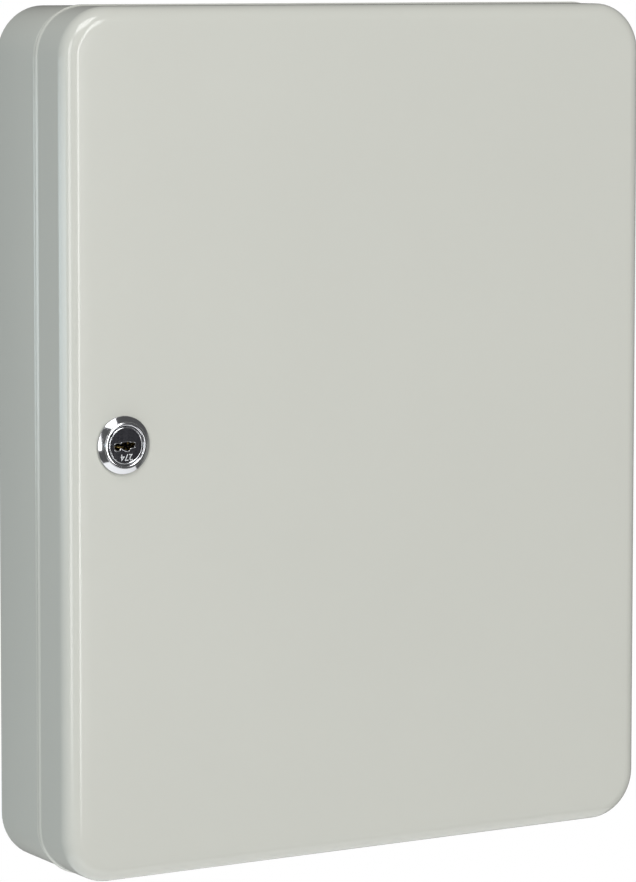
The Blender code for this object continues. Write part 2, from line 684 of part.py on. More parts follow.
def make_plug(lock):
    """The plug that the key turns: black face, body with wafer slots and keyway, and the cam's tang."""
    face = HEAD_HEIGHT - FACE_CLEARANCE
    seat = FACE_SEAT + GAP
    profile = [
        (0, face), (FACE_RADIUS - FACE_EASE, face), (FACE_RADIUS, face - FACE_EASE), (FACE_RADIUS, seat),
        (PLUG_RADIUS, seat), (PLUG_RADIUS, BARREL_END), (0, BARREL_END),
    ]
    plug = turned("lock_plug", profile)
    half = TANG / 2
    tang = ((-half, half), (-half, half), (CAM_REAR + TANG_SHORT, BARREL_END + MM))
    join(plug, boxes("plug_tang", [tang]), lock)
    keyway = extruded("keyway", keyway_outline(), KEYWAY_DEPTH)
    keyway.location.z = face + MM - KEYWAY_DEPTH / 2
    cut(plug, keyway, lock)
    slot_x = PLUG_RADIUS + MM
    slot_y = WAFER_WIDTH / 2 + GAP
    slot_z = WAFER_THICKNESS / 2 + GAP
    spans = [((-slot_x, slot_x), (-slot_y, slot_y), (z - slot_z, z + slot_z)) for z in WAFER_HEIGHTS]
    cut(plug, boxes("wafer_slots", spans), lock)
    depth = 2 * (CAM_SCREW_LENGTH + MM)
    hole = Matrix.Translation((0, 0, CAM_REAR))
    cut(plug, cylinders("screw_hole", CAM_SCREW_RADIUS + GAP, depth, [hole], steps=14), lock)
    place(plug, "black_nickel", lock)


def make_wafers(lock):
    """Brass wafer tumblers, each with the window that the key's blade passes through."""
    half_x = WAFER_LENGTH / 2
    half_y = WAFER_WIDTH / 2
    window_y = half_y - WAFER_SIDE
    window = ((-half_x + WAFER_SPRING_END, half_x - WAFER_FREE_END), (-window_y, window_y))
    for i, z in enumerate(WAFER_HEIGHTS, start=1):
        thick = (-WAFER_THICKNESS / 2, WAFER_THICKNESS / 2)
        wafer = boxes(f"lock_wafer_{i}", [((-half_x, half_x), (-half_y, half_y), thick)])
        opening = boxes(f"wafer_window_{i}", [(*window, (-WAFER_THICKNESS, WAFER_THICKNESS))])
        for shape in (wafer, opening):
            shape.location.z = z
        cut(wafer, opening, lock)
        place(wafer, "brass", lock)


def make_cam(lock):
    """Cam, the washer that stops its quarter turn, and the screw and spring washer that hold it."""
    half = CAM_WIDTH / 2
    meet = math.degrees(math.acos(half / CAM_HUB_RADIUS))
    tip_x = half - CAM_TIP_RADIUS
    tip_z = CAM_TIP_RADIUS - CAM_REACH
    outline = (
        arc((0, 0), CAM_HUB_RADIUS, -meet, 180 + meet, 14)
        + arc((-tip_x, tip_z), CAM_TIP_RADIUS, 180, 270, 3)
        + arc((tip_x, tip_z), CAM_TIP_RADIUS, 270, 360, 3)
    )
    cam = extruded("lock_cam", outline, CAM_THICKNESS)
    cam.location.z = CAM_FRONT - CAM_THICKNESS / 2
    square = TANG / 2 + GAP
    hole = ((-square, square), (-square, square), (CAM_REAR - MM, BARREL_END + MM))
    cut(cam, boxes("cam_square", [hole]), lock)
    place(cam, "zinc_plated_steel", lock)
    stop_top = STOP_WASHER_REAR + STOP_WASHER_THICKNESS
    stop_middle = Matrix.Translation((0, 0, (STOP_WASHER_REAR + stop_top) / 2))
    stop = cylinders("turn_stop_washer", BARREL_RADIUS, STOP_WASHER_THICKNESS, [stop_middle])
    cut(stop, boxes("stop_square", [hole]), lock)
    place(stop, "zinc_plated_steel", lock)
    top = CAM_REAR - GAP
    low = top - SPRING_WASHER_THICKNESS
    washer = ring("cam_spring_washer", CAM_SCREW_RADIUS + GAP, SPRING_WASHER_RADIUS, low, top, 20)
    place(washer, "zinc_plated_steel", lock)
    seat = low - GAP
    crown = seat - CAM_SCREW_HEAD
    end = seat + CAM_SCREW_LENGTH
    head = CAM_SCREW_HEAD_RADIUS
    profile = [
        (0, end), (CAM_SCREW_RADIUS, end), (CAM_SCREW_RADIUS, seat), (head, seat),
        (head, seat - CAM_SCREW_HEAD / 2), (0.75 * head, crown), (0, crown),
    ]
    screw = turned("cam_screw", profile, 20)
    wide = head + MM
    driver = ((-wide, wide), (-DRIVER_SLOT / 2, DRIVER_SLOT / 2), (crown - MM, crown + MM))
    cut(screw, boxes("driver_slot", [driver]), lock)
    place(screw, "zinc_plated_steel", lock)


clear_scene()
PARTS = new_collection("key_cabinet")
CUTTERS = new_collection("cutters", hidden=True)
case_axis = empty("case_axis", Matrix.Identity(4))
door_axis = empty("door_axis", Matrix.Translation((HINGE_X, SEAM_Y, 0)))
lock_axis = empty("lock_axis", along_y(LOCK_X, LOCK_Z, DOOR_FRONT_Y), door_axis)
lock_turn_axis = empty("lock_turn_axis", along_y(LOCK_X, LOCK_Z, DOOR_FRONT_Y), door_axis)

make_case(case_axis)
make_door(door_axis)
make_hinge(case_axis, door_axis)
make_rails(case_axis, door_axis)
make_keep(case_axis)
make_buffers(case_axis)
make_lock_housing(lock_axis)
make_lock_fixings(lock_axis)
make_plug(lock_turn_axis)
make_wafers(lock_turn_axis)
make_cam(lock_turn_axis)
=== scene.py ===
# %% [markdown]
# # A key cabinet, finished piece by piece
#
# The cabinet is a steel case that hangs on a wall and a steel door that turns on a long hinge. Inside,
# plastic rails hold a hundred hooks. The engineering model gives every size and every joint. This lesson
# gives each piece its fine surface and its finish: enamel, chrome, zinc, moulded plastic, card and rubber.

import json
import math

import bmesh
import bpy
import numpy as np
from mathutils import Matrix, Vector


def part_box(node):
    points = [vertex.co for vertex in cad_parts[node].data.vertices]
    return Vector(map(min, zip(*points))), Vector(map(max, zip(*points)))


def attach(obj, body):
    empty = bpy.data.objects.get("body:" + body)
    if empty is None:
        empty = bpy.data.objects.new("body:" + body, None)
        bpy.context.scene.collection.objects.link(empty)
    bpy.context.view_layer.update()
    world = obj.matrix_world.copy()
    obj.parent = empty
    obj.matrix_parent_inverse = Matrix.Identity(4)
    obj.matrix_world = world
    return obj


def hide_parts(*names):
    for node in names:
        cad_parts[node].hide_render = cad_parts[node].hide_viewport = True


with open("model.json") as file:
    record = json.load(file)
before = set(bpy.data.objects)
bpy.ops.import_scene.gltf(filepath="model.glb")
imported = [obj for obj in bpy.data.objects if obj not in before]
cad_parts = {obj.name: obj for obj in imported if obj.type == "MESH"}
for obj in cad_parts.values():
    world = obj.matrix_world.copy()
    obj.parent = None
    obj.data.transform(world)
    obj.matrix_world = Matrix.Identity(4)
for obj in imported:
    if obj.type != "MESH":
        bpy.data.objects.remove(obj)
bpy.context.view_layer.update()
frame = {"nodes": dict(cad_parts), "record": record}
MM = 0.001

# %% [markdown]
# ## Sizes
#
# Every place is read from the engineering model, so a piece always lands where its neighbours expect it.
# Only what the model can't tell is set here: the thickness of the sheet, and the radii that a press tool
# leaves in it.

# %% Read the places of the main pieces
door_low, door_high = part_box("door_shell")
case_low, case_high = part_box("case_shell")
joints = {joint["name"]: joint for joint in frame["record"]["behaviour"]["joints"]}
HINGE = Vector(joints["door_swing"]["pos_m"])
LOCK = Vector(joints["lock_turn"]["pos_m"])
SHEET = 1.0 * MM
CORNER = 22.6 * MM
DOOR_BEND = 7.0 * MM
CASE_BACK_BEND = 3.0 * MM
DOOR_FLANGE = 8.0 * MM
CASE_FLANGE = 9.0 * MM
OVERHANG = door_high.x - case_high.x
print(f"door {door_high.x - door_low.x:.3f} x {door_high.z - door_low.z:.3f} m")
print(f"overhang {OVERHANG / MM:.1f} mm")

# %% [markdown]
# ## The camera and the room
#
# A cabinet of this kind is shown from the front left through a long lens, which keeps its upright edges
# almost parallel. The camera is made first, so that each piece can be judged as it will be seen. The floor
# is plain and pale and lies well below the cabinet, because the cabinet hangs on a wall.

# %% Camera
VIEW_TURN = math.radians(30.785)
VIEW_RISE = math.radians(4.945)
VIEW_ROLL = math.radians(0.051)
VIEW_DISTANCE = 1.820
VIEW_SHIFT = -0.15
LENS = 164.6
AIM = Vector((-2.75 * MM, -30 * MM, 52.3 * MM))

camera = bpy.data.objects.new("camera", bpy.data.cameras.new("camera"))
bpy.context.scene.collection.objects.link(camera)
bpy.context.scene.camera = camera
away = Vector((-math.sin(VIEW_TURN), -math.cos(VIEW_TURN), math.tan(VIEW_RISE))).normalized()
camera.location = AIM + away * VIEW_DISTANCE
camera.rotation_mode = "QUATERNION"
roll = Matrix.Rotation(VIEW_ROLL, 3, "Z").to_quaternion()
camera.rotation_quaternion = (-away).to_track_quat("-Z", "Y") @ roll
camera.data.lens = LENS
camera.data.sensor_width = 36
camera.data.shift_y = VIEW_SHIFT
camera.data.clip_start = 0.01
camera.data.clip_end = 100
print("camera at", [round(value, 3) for value in camera.location])

# %% [markdown]
# ## Helpers for surfaces
#
# A shape here is a grid of points: one direction follows a section, the other carries it along a path.
# Numpy works out all the points at once, and the same small function turns any such grid into a mesh. The
# first and last ring can each be closed with one flat face, which is how a sheet's flat middle is made.

# %% From grids of points to pieces
def grid_quads(rows, columns, wrap_rows=False, wrap_columns=False):
    """Four-sided faces between neighbours of a rows x columns grid; a wrapped direction also joins last to
    first."""
    row = np.arange(rows if wrap_rows else rows - 1)[:, None]
    column = np.arange(columns if wrap_columns else columns - 1)[None, :]
    next_row = (row + 1) % rows
    next_column = (column + 1) % columns
    corners = (row * columns + column, row * columns + next_column,
               next_row * columns + next_column, next_row * columns + column)
    return np.stack(np.broadcast_arrays(*corners), axis=-1).reshape(-1, 4)


def tube_faces(rows, columns):
    """The faces of rows of closed rings, with one flat face over the first ring and one over the last."""
    faces = [tuple(face) for face in grid_quads(rows, columns, wrap_columns=True)]
    return faces + [tuple(range(columns)), tuple(range((rows - 1) * columns, rows * columns))]


def turned_upright(profile, steps, x=0.0, y=0.0):
    """A profile of (radius, height) turned about the upright line through (x, y)."""
    angle = np.linspace(0, 2 * np.pi, steps, endpoint=False)[:, None]
    return np.stack([x + profile[None, :, 0] * np.cos(angle), y + profile[None, :, 0] * np.sin(angle),
                     np.broadcast_to(profile[None, :, 1], (steps, len(profile)))], axis=-1)


def make_mesh(name, parts):
    """One mesh from several (points, faces) pairs, with doubled points merged and all faces outwards."""
    points = []
    faces = []
    first = 0
    for part_points, part_faces in parts:
        flat = np.asarray(part_points, dtype=float).reshape(-1, 3)
        points.append(flat)
        faces += [[int(index) + first for index in face] for face in part_faces]
        first += len(flat)
    mesh = bpy.data.meshes.new(name)
    mesh.from_pydata(np.concatenate(points), [], faces)
    return outwards(mesh)


def outwards(mesh):
    """Merges a mesh's doubled points and turns its faces outwards."""
    bm = bmesh.new()
    bm.from_mesh(mesh)
    bmesh.ops.remove_doubles(bm, verts=bm.verts, dist=1e-7)
    bmesh.ops.recalc_face_normals(bm, faces=bm.faces)
    bm.to_mesh(mesh)
    bm.free()
    return mesh


def shade(mesh, sharp_above=32):
    """Smooth faces that stay crisp where they meet at a steeper angle than this, in degrees."""
    mesh.shade_smooth()
    mesh.set_sharp_from_angle(angle=math.radians(sharp_above))


def piece(name, mesh, body, finish, node=None):
    """A finished piece: it rides on a body, takes a finish and stands for the engineering model's node."""
    obj = bpy.data.objects.new(name, mesh)
    bpy.context.scene.collection.objects.link(obj)
    shade(mesh)
    if finish:
        mesh.materials.clear()
        mesh.materials.append(finish)
    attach(obj, body)
    if node:
        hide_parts(node)
    return obj


BODY_OF = {node: body for body, nodes in frame["record"]["behaviour"]["bodies"].items() for node in nodes}

# %% [markdown]
# ## Finishes
#
# A finish starts from what the real surface is and how it was made. Patterns are sized in millimetres of
# the real thing and read object coordinates, which are metres here, so a grain of 2 mm needs a scale of
# 500. A number that is the same all over goes straight on the shader.

# %% Helpers that add shader nodes
def linear(hex_colour):
    """An sRGB hex colour as linear red, green, blue and alpha, by the sRGB curve."""
    channels = [int(hex_colour[i:i + 2], 16) / 255 for i in (1, 3, 5)]
    return (*[c / 12.92 if c <= 0.04045 else ((c + 0.055) / 1.055) ** 2.4 for c in channels], 1.0)


def per(size_mm):
    """The texture scale that makes one cell of a pattern this many millimetres wide."""
    return 1.0 / (size_mm * MM)


def node(material, kind, inputs=None, **properties):
    """Adds a node. An input is a number, a colour or the output socket of another node."""
    made = material.node_tree.nodes.new(kind)
    for name, value in properties.items():
        setattr(made, name, value)
    for name, value in (inputs or {}).items():
        if isinstance(value, bpy.types.NodeSocket):
            material.node_tree.links.new(value, made.inputs[name])
        else:
            made.inputs[name].default_value = value
    return made


def new_finish(name, **constants):
    """A material, its Principled shader with the even values on its own sockets, and object coordinates."""
    material = bpy.data.materials.new(name)
    material.use_nodes = True
    shader = material.node_tree.nodes["Principled BSDF"]
    for socket, value in constants.items():
        shader.inputs[socket.replace("_", " ")].default_value = value
    return material, shader, node(material, "ShaderNodeTexCoord").outputs["Object"]


def feed(material, shader, **outputs):
    """Links outputs to the shader's sockets by name and gives the finished material back."""
    for socket, output in outputs.items():
        material.node_tree.links.new(output, shader.inputs[socket.replace("_", " ")])
    return material


def noise(material, place, size_mm, detail):
    """A cloud whose cells are this many millimetres wide, from 0 to 1."""
    made = node(material, "ShaderNodeTexNoise", {"Vector": place, "Scale": per(size_mm), "Detail": detail})
    return made.outputs["Fac"]


def drawn_out(material, place, scale, turn=0.0):
    """Coordinates turned about Y and stretched, so that noise read from them runs in lines."""
    made = node(material, "ShaderNodeMapping", {"Vector": place, "Scale": scale,
                                                "Rotation": (0.0, turn, 0.0)})
    return made.outputs["Vector"]


def blend(material, factor, first, second):
    """A colour that runs from one sRGB hex colour to another."""
    made = node(material, "ShaderNodeMix", {"Factor": factor}, data_type="RGBA")
    made.inputs["A"].default_value = linear(first)
    made.inputs["B"].default_value = linear(second)
    return made.outputs["Result"]


def spread(material, factor, low, high):
    """A factor from 0 to 1 mapped to a range."""
    made = node(material, "ShaderNodeMapRange", {"Value": factor, "To Min": low, "To Max": high})
    return made.outputs["Result"]


def relief(material, height, strength, depth_mm, **under):
    """A bump this many millimetres deep; Normal, if given, is the bump that it lies on."""
    made = node(material, "ShaderNodeBump", {"Height": height, "Strength": strength,
                                             "Distance": depth_mm * MM, **under})
    return made.outputs["Normal"]


def speckled(name, ior, size_mm, detail, colours, gloss, bump=None):
    """A finish whose colour and roughness share one noise, as does a bump of (strength, depth) if given."""
    material, shader, place = new_finish(name, Metallic=0.0, IOR=ior)
    grain = noise(material, place, size_mm, detail)
    if bump:
        feed(material, shader, Normal=relief(material, grain, *bump))
    return feed(material, shader, Base_Color=blend(material, grain, *colours),
                Roughness=spread(material, grain, *gloss))


# %% [markdown]
# ### Baked enamel
#
# The sheet is sprayed and baked. The paint flows before it sets, so it is smooth to the touch but keeps a
# faint orange-peel ripple about 2 mm across, and the thin sheet below it is never quite flat: reflections
# swim slowly over 60 to 90 mm. Colour varies by about one part in a hundred, where the coat is thicker or
# thinner.

# %% Baked enamel, light grey
def baked_enamel():
    material, shader, place = new_finish("baked_enamel_light_grey", Metallic=0.0, IOR=1.5)
    tone = blend(material, noise(material, place, 85, 2.0), "#CCCDC5", "#CFD0C8")
    gloss = spread(material, noise(material, place, 9, 4.0), 0.12, 0.18)
    ripple = relief(material, noise(material, place, 2.2, 1.0), 0.25, 0.02)
    swim = relief(material, noise(material, place, 70, 1.0), 0.5, 0.35, Normal=ripple)
    return feed(material, shader, Base_Color=tone, Roughness=gloss, Normal=swim)


ENAMEL = baked_enamel()
print(ENAMEL.name)

# %% [markdown]
# ### Zinc, chrome and brass
#
# Small steel parts are barrel-plated with zinc: a cool, slightly blue metal, dulled by tumbling, with fine
# random scuffs. The lock's head is cast zinc, polished and chromed, so it mirrors the room and shows only
# hair scratches. The wafers are stamped from brass strip, which keeps the strip's rolling lines.

# %% The plated metals
def zinc_plate():
    material, shader, place = new_finish("zinc_plated_steel_tumbled", Metallic=1.0)
    tone = blend(material, noise(material, place, 3.5, 5.0), "#A9ADB0", "#D3D5D4")
    scuff = noise(material, place, 0.8, 6.0)
    return feed(material, shader, Base_Color=tone, Roughness=spread(material, scuff, 0.24, 0.46),
                Normal=relief(material, scuff, 0.15, 0.03))


def chrome_plate():
    material, shader, place = new_finish("chromed_zinc_casting_polished", Metallic=1.0,
                                         Base_Color=linear("#CBCCCF"))
    hair = noise(material, drawn_out(material, place, (1.0, 1.0, 14.0), 0.6), 2.0, 4.0)
    wave = relief(material, noise(material, place, 3.0, 1.0), 0.3, 0.03)
    return feed(material, shader, Roughness=spread(material, hair, 0.04, 0.14), Normal=wave)


def stamped_brass():
    material, shader, place = new_finish("stamped_brass_strip", Metallic=1.0)
    lines = noise(material, drawn_out(material, place, (1.0, 1.0, 9.0)), 1.0, 3.0)
    return feed(material, shader, Base_Color=blend(material, lines, "#B89550", "#E0C27A"),
                Roughness=spread(material, lines, 0.18, 0.36))


ZINC = zinc_plate()
CHROME = chrome_plate()
BRASS = stamped_brass()
print(ZINC.name, CHROME.name, BRASS.name)

# %% [markdown]
# ### Lacquered plug face
#
# The plug's face is painted a blue-black and rubbed along one slant, so it is dark from the front and shows
# fine slanting lines in the light. The lines are drawn 0.35 mm apart, coarser than the real ones, so that
# they show.

# %% Blue-black lacquer
def lacquered_face():
    material, shader, place = new_finish("blue_black_lacquer_rubbed", Metallic=0.0, IOR=1.5)
    rub = noise(material, drawn_out(material, place, (1.0, 1.0, 0.06), math.radians(38)), 0.35, 2.0)
    return feed(material, shader, Base_Color=blend(material, rub, "#0C0C11", "#1B1B25"),
                Roughness=spread(material, rub, 0.1, 0.24), Normal=relief(material, rub, 0.2, 0.008))


LACQUER = lacquered_face()
STAMP_PAINT = speckled("silver_paint_wiped_in", 1.5, 0.3, 2.0, ("#BFC1C6", "#F1F2F4"), (0.3, 0.5))
print(LACQUER.name, STAMP_PAINT.name)

# %% [markdown]
# ### Plastic, card, ink and rubber
#
# The rails and hooks are moulded ABS: an even grey with the fine, even texture of a spark-eroded mould. The
# label strips are matt card, whose fibres show as a faint cloud. The numbers are printed in black ink that
# dries a little glossier than the card. The buffers are moulded rubber, which takes light softly and greys
# with dust.

# %% The soft and printed materials
def moulded_abs():
    material, shader, place = new_finish("moulded_abs_grey", Metallic=0.0, IOR=1.54)
    flow = noise(material, place, 24, 2.0)
    spark = node(material, "ShaderNodeTexVoronoi", {"Vector": place, "Scale": per(0.5)}).outputs["Distance"]
    return feed(material, shader, Base_Color=blend(material, flow, "#8B9092", "#949A9B"),
                Roughness=spread(material, flow, 0.38, 0.48), Normal=relief(material, spark, 0.2, 0.03))


ABS = moulded_abs()
CARD = speckled("matt_label_card", 1.45, 1.6, 5.0, ("#EDECE5", "#F6F5EF"), (0.78, 0.9), (0.2, 0.04))
INK = speckled("printing_ink_black", 1.5, 0.6, 3.0, ("#1B1B1D", "#33343A"), (0.4, 0.6))
RUBBER = speckled("moulded_black_rubber", 1.52, 1.4, 4.0, ("#1C1C1C", "#333332"), (0.6, 0.85))
print(ABS.name, CARD.name, INK.name, RUBBER.name)

# %% [markdown]
# ## The pressed pans
#
# Case and door are each pressed from one sheet: a flat panel, a bend, a straight wall and a narrow flange
# round the mouth. One section describes the whole wall, outer face and inner face, and a rounded rectangle
# carries it round. A point that lies further in from the outline follows a smaller corner, with the
# corner's centre kept.

# %% Sections and rounded rectangles
def bend(inset, depth, radius, start, end, steps=12):
    """Points on a circle about (inset, depth), from one angle to another in degrees; 0 points inwards."""
    angle = np.radians(np.linspace(start, end, steps + 1))
    return np.stack([inset + radius * np.cos(angle), depth + radius * np.sin(angle)], axis=1)


def around(low, high, corner, inset, steps=14):
    """Points of a rounded rectangle drawn inset from the outline: centre of each corner plus (corner - inset)
    times the direction, as an array of path points x insets x (x, z)."""
    turn = np.radians(np.arange(4)[:, None] * 90 + np.linspace(0, 90, steps + 1)[None, :])
    side = np.array([[1, 1], [-1, 1], [-1, -1], [1, -1]])
    middle = np.array([(low.x + high.x) / 2, (low.z + high.z) / 2])
    half = np.array([(high.x - low.x) / 2, (high.z - low.z) / 2]) - corner
    centre = (middle + side * half)[:, None, None, :]
    direction = np.stack([np.cos(turn), np.sin(turn)], axis=-1)[:, :, None, :]
    ring = centre + (corner - np.asarray(inset))[None, None, :, None] * direction
    return ring.reshape(4 * (steps + 1), -1, 2)


def pan_mesh(name, low, high, corner, section, closed_y, towards_open):
    """A pan: each (inset, depth) of the section is carried round the outline, with depth counted from the
    closed face; the first and last rings are each filled with one flat face."""
    ring = around(low, high, corner, section[:, 0])
    depth = np.broadcast_to(closed_y + towards_open * section[:, 1], ring.shape[:2])
    points = np.stack([ring[..., 0], depth, ring[..., 1]], axis=-1)
    rows, columns = points.shape[:2]
    faces = [tuple(face) for face in grid_quads(rows, columns, wrap_rows=True)]
    faces.append(tuple(range(0, rows * columns, columns)))
    faces.append(tuple(range(columns - 1, rows * columns, columns)))
    return make_mesh(name, [(points, faces)])


PANEL_EDGE = 18 * MM
print("a corner ring has", around(door_low, door_high, CORNER, [0.0]).shape[0], "points")

# %% [markdown]
# ### The door's section
#
# The door's wall ends in a small bead where the sheet is rolled before it turns into the flange. It stands
# 0.6 mm proud of the wall, stiffens the mouth and catches a thin line of light all the way round the seam.

# %% Sections of the two pans
def door_section(depth):
    """(inset, depth) from the middle of the outer face, round the wall and flange, to the middle of the inner
    face."""
    proud = 0.6 * MM
    bead = 1.1 * MM
    inner = proud + SHEET
    return np.concatenate([
        [[PANEL_EDGE, 0], [PANEL_EDGE - 4 * MM, 0]],
        bend(proud + DOOR_BEND, DOOR_BEND, DOOR_BEND, 270, 180, 20),
        [[proud, depth - 2 * bead - 1.2 * MM]],
        bend(proud - 0.9 * MM, depth - 2 * bead - 0.4 * MM, 0.9 * MM, 0, 30, 3),
        bend(bead, depth - bead, bead, 180 + 40, 180, 5)[:-1],
        bend(bead, depth - bead, bead, 180, 90, 10),
        [[DOOR_FLANGE - 0.3 * MM, depth]],
        bend(DOOR_FLANGE - SHEET / 2, depth - SHEET / 2, SHEET / 2, 80, -80, 6),
        [[inner + 0.6 * MM, depth - SHEET]],
        bend(inner + 0.6 * MM, depth - SHEET - 0.6 * MM, 0.6 * MM, 90, 180, 5),
        bend(inner + DOOR_BEND - SHEET, DOOR_BEND, DOOR_BEND - SHEET, 180, 270, 16),
        [[PANEL_EDGE - 4 * MM, SHEET], [PANEL_EDGE, SHEET]],
    ])


def case_section(depth):
    """The same walk round the case, whose mouth is a plain bend into a wider flange."""
    mouth = 1.6 * MM
    return np.concatenate([
        [[PANEL_EDGE, 0], [PANEL_EDGE - 4 * MM, 0]],
        bend(CASE_BACK_BEND, CASE_BACK_BEND, CASE_BACK_BEND, 270, 180, 12),
        bend(mouth, depth - mouth, mouth, 180, 90, 8),
        [[CASE_FLANGE - 0.3 * MM, depth]],
        bend(CASE_FLANGE - SHEET / 2, depth - SHEET / 2, SHEET / 2, 80, -80, 6),
        [[mouth + 0.2 * MM, depth - SHEET]],
        bend(mouth, depth - mouth, mouth - SHEET, 90, 180, 5),
        bend(CASE_BACK_BEND, CASE_BACK_BEND, CASE_BACK_BEND - SHEET, 180, 270, 8),
        [[PANEL_EDGE - 4 * MM, SHEET], [PANEL_EDGE, SHEET]],
    ])


door_mesh = pan_mesh("door_pan", door_low, door_high, CORNER, door_section(door_high.y - door_low.y),
                     door_low.y, 1)
case_mesh = pan_mesh("case_pan", case_low, case_high, CORNER - OVERHANG,
                     case_section(case_high.y - case_low.y), case_high.y, -1)
print("door", len(door_mesh.polygons), "faces; case", len(case_mesh.polygons), "faces")

# %% [markdown]
# ### Holes and notches
#
# Holes are punched before the sheet is pressed. Here they are cut afterwards with an exact Boolean, because
# the flat panel is then one face until its holes are known. The cutter is taken away again once it has done
# its work.

# %% Punching
def punched(mesh, cutter):
    """The mesh with the cutter mesh's shape taken out of it."""
    work = bpy.data.objects.new("work", mesh)
    tool = bpy.data.objects.new("tool", cutter)
    for obj in (work, tool):
        bpy.context.scene.collection.objects.link(obj)
    cut = work.modifiers.new("Cut", "BOOLEAN")
    cut.solver = "EXACT"
    cut.object = tool
    bpy.context.view_layer.update()
    result = bpy.data.meshes.new_from_object(work.evaluated_get(bpy.context.evaluated_depsgraph_get()))
    for obj in (work, tool):
        bpy.data.objects.remove(obj)
    return outwards(result)


def block_part(x, y, z):
    """Points and faces of a box between two values on each axis, as a 2 x 2 x 2 grid of corners."""
    points = np.stack(np.meshgrid(x, y, z, indexing="ij"), axis=-1).reshape(-1, 3)
    faces = [(0, 1, 3, 2), (4, 6, 7, 5), (0, 4, 5, 1), (2, 3, 7, 6), (0, 2, 6, 4), (1, 5, 7, 3)]
    return points, faces


def turned_part(profile, centre, steps=64, shape=None):
    """A closed (radius, forward) profile turned about a line through centre that points forward (-Y). shape
    may change the across and up values after they are turned, for flats."""
    angle = np.linspace(0, 2 * np.pi, steps, endpoint=False)[:, None]
    profile = np.asarray(profile)
    across = profile[None, :, 0] * np.cos(angle)
    up = profile[None, :, 0] * np.sin(angle)
    if shape:
        across, up = shape(across, up)
    forward = np.broadcast_to(profile[None, :, 1], across.shape)
    points = np.stack([centre.x + across, centre.y - forward, centre.z + up], axis=-1)
    on_axis = bool(profile[0, 0] < 1e-9 and profile[-1, 0] < 1e-9)
    return points, grid_quads(steps, len(profile), wrap_rows=True, wrap_columns=not on_axis)


def drill(centre, radius, reach, shape=None):
    """A cutter for a round hole through a panel."""
    return turned_part([[0, -reach], [radius, -reach], [radius, reach], [0, reach]], centre, 48, shape)


# %% Holes in the door and the case
HINGE_HALF = 151.6 * MM
NOTCH = 2.0 * MM
BARREL = 9.3 * MM
BARREL_HALF_FLATS = 8.0 * MM
BARREL_FIT = 0.25 * MM
CUT_REACH = 4 * MM
WALL_HOLE = 3.25 * MM
WALL_HOLE_X = 119.2 * MM
WALL_HOLE_Z = 171.2 * MM
STEM_HOLE = 1.8 * MM


def flats(half):
    """Two flats, above and below: the up value is held between them."""
    return lambda across, up: (across, np.clip(up, -half, half))


buffers = [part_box(name) for name in ("lower_buffer", "upper_buffer")]
door_face = Vector((LOCK.x, door_low.y, LOCK.z))
door_cuts = make_mesh("door_cuts", [
    drill(door_face, BARREL + BARREL_FIT, CUT_REACH, flats(BARREL_HALF_FLATS + BARREL_FIT)),
    block_part((door_high.x - DOOR_FLANGE - NOTCH, door_high.x + NOTCH),
               (door_high.y - 2.5 * MM, door_high.y + NOTCH), (-HINGE_HALF, HINGE_HALF)),
])
wall_holes = [Vector((side * WALL_HOLE_X, case_high.y, up * WALL_HOLE_Z))
              for side in (-1, 1) for up in (-1, 1)]
stems = [Vector(((low.x + high.x) / 2, case_low.y, (low.z + high.z) / 2)) for low, high in buffers]
case_cuts = make_mesh("case_cuts", [drill(hole, WALL_HOLE, CUT_REACH) for hole in wall_holes]
                      + [drill(stem, STEM_HOLE, CUT_REACH) for stem in stems]
                      + [block_part((case_high.x - CASE_FLANGE - NOTCH, case_high.x + NOTCH),
                                    (case_low.y - NOTCH, case_low.y + 2.0 * MM), (-HINGE_HALF, HINGE_HALF))])
door_pan = piece("door_pan", punched(door_mesh, door_cuts), "door", ENAMEL, "door_shell")
case_pan = piece("case_pan", punched(case_mesh, case_cuts), "case", ENAMEL, "case_shell")
print("punched:", len(door_pan.data.polygons), len(case_pan.data.polygons))

# %% [markdown]
# ## The long hinge
#
# A long hinge is two strips of steel, each with tongues that are rolled round one wire. Every tongue is a
# tube with a fine radius on its ends; the strip runs into the tube and turns down inside the pan, where it
# is spot-welded. The strips are extruded sections. The welds show as shallow round dimples, so the strip's
# grid is pushed in there.

# %% Hinge strips, knuckles and pin
KNUCKLE = 2.2 * MM
PIN = 1.3 * MM
KNUCKLE_COUNT = 15
KNUCKLE_GAP = 0.3 * MM
STRIP = 0.8 * MM
STRIP_OFFSET = 0.55 * MM  # from the hinge's axis to the middle of a strip


def upright_ring(inner, outer, low, high, steps=40):
    """A tube about the hinge's axis with its four edges eased by 0.12 mm."""
    ease = 0.12 * MM
    profile = np.array([[inner, low + ease], [inner + ease, low], [outer - ease, low], [outer, low + ease],
                        [outer, high - ease], [outer - ease, high], [inner + ease, high],
                        [inner, high - ease]])
    points = turned_upright(profile, steps, HINGE.x, HINGE.y)
    return points, grid_quads(steps, len(profile), wrap_rows=True, wrap_columns=True)


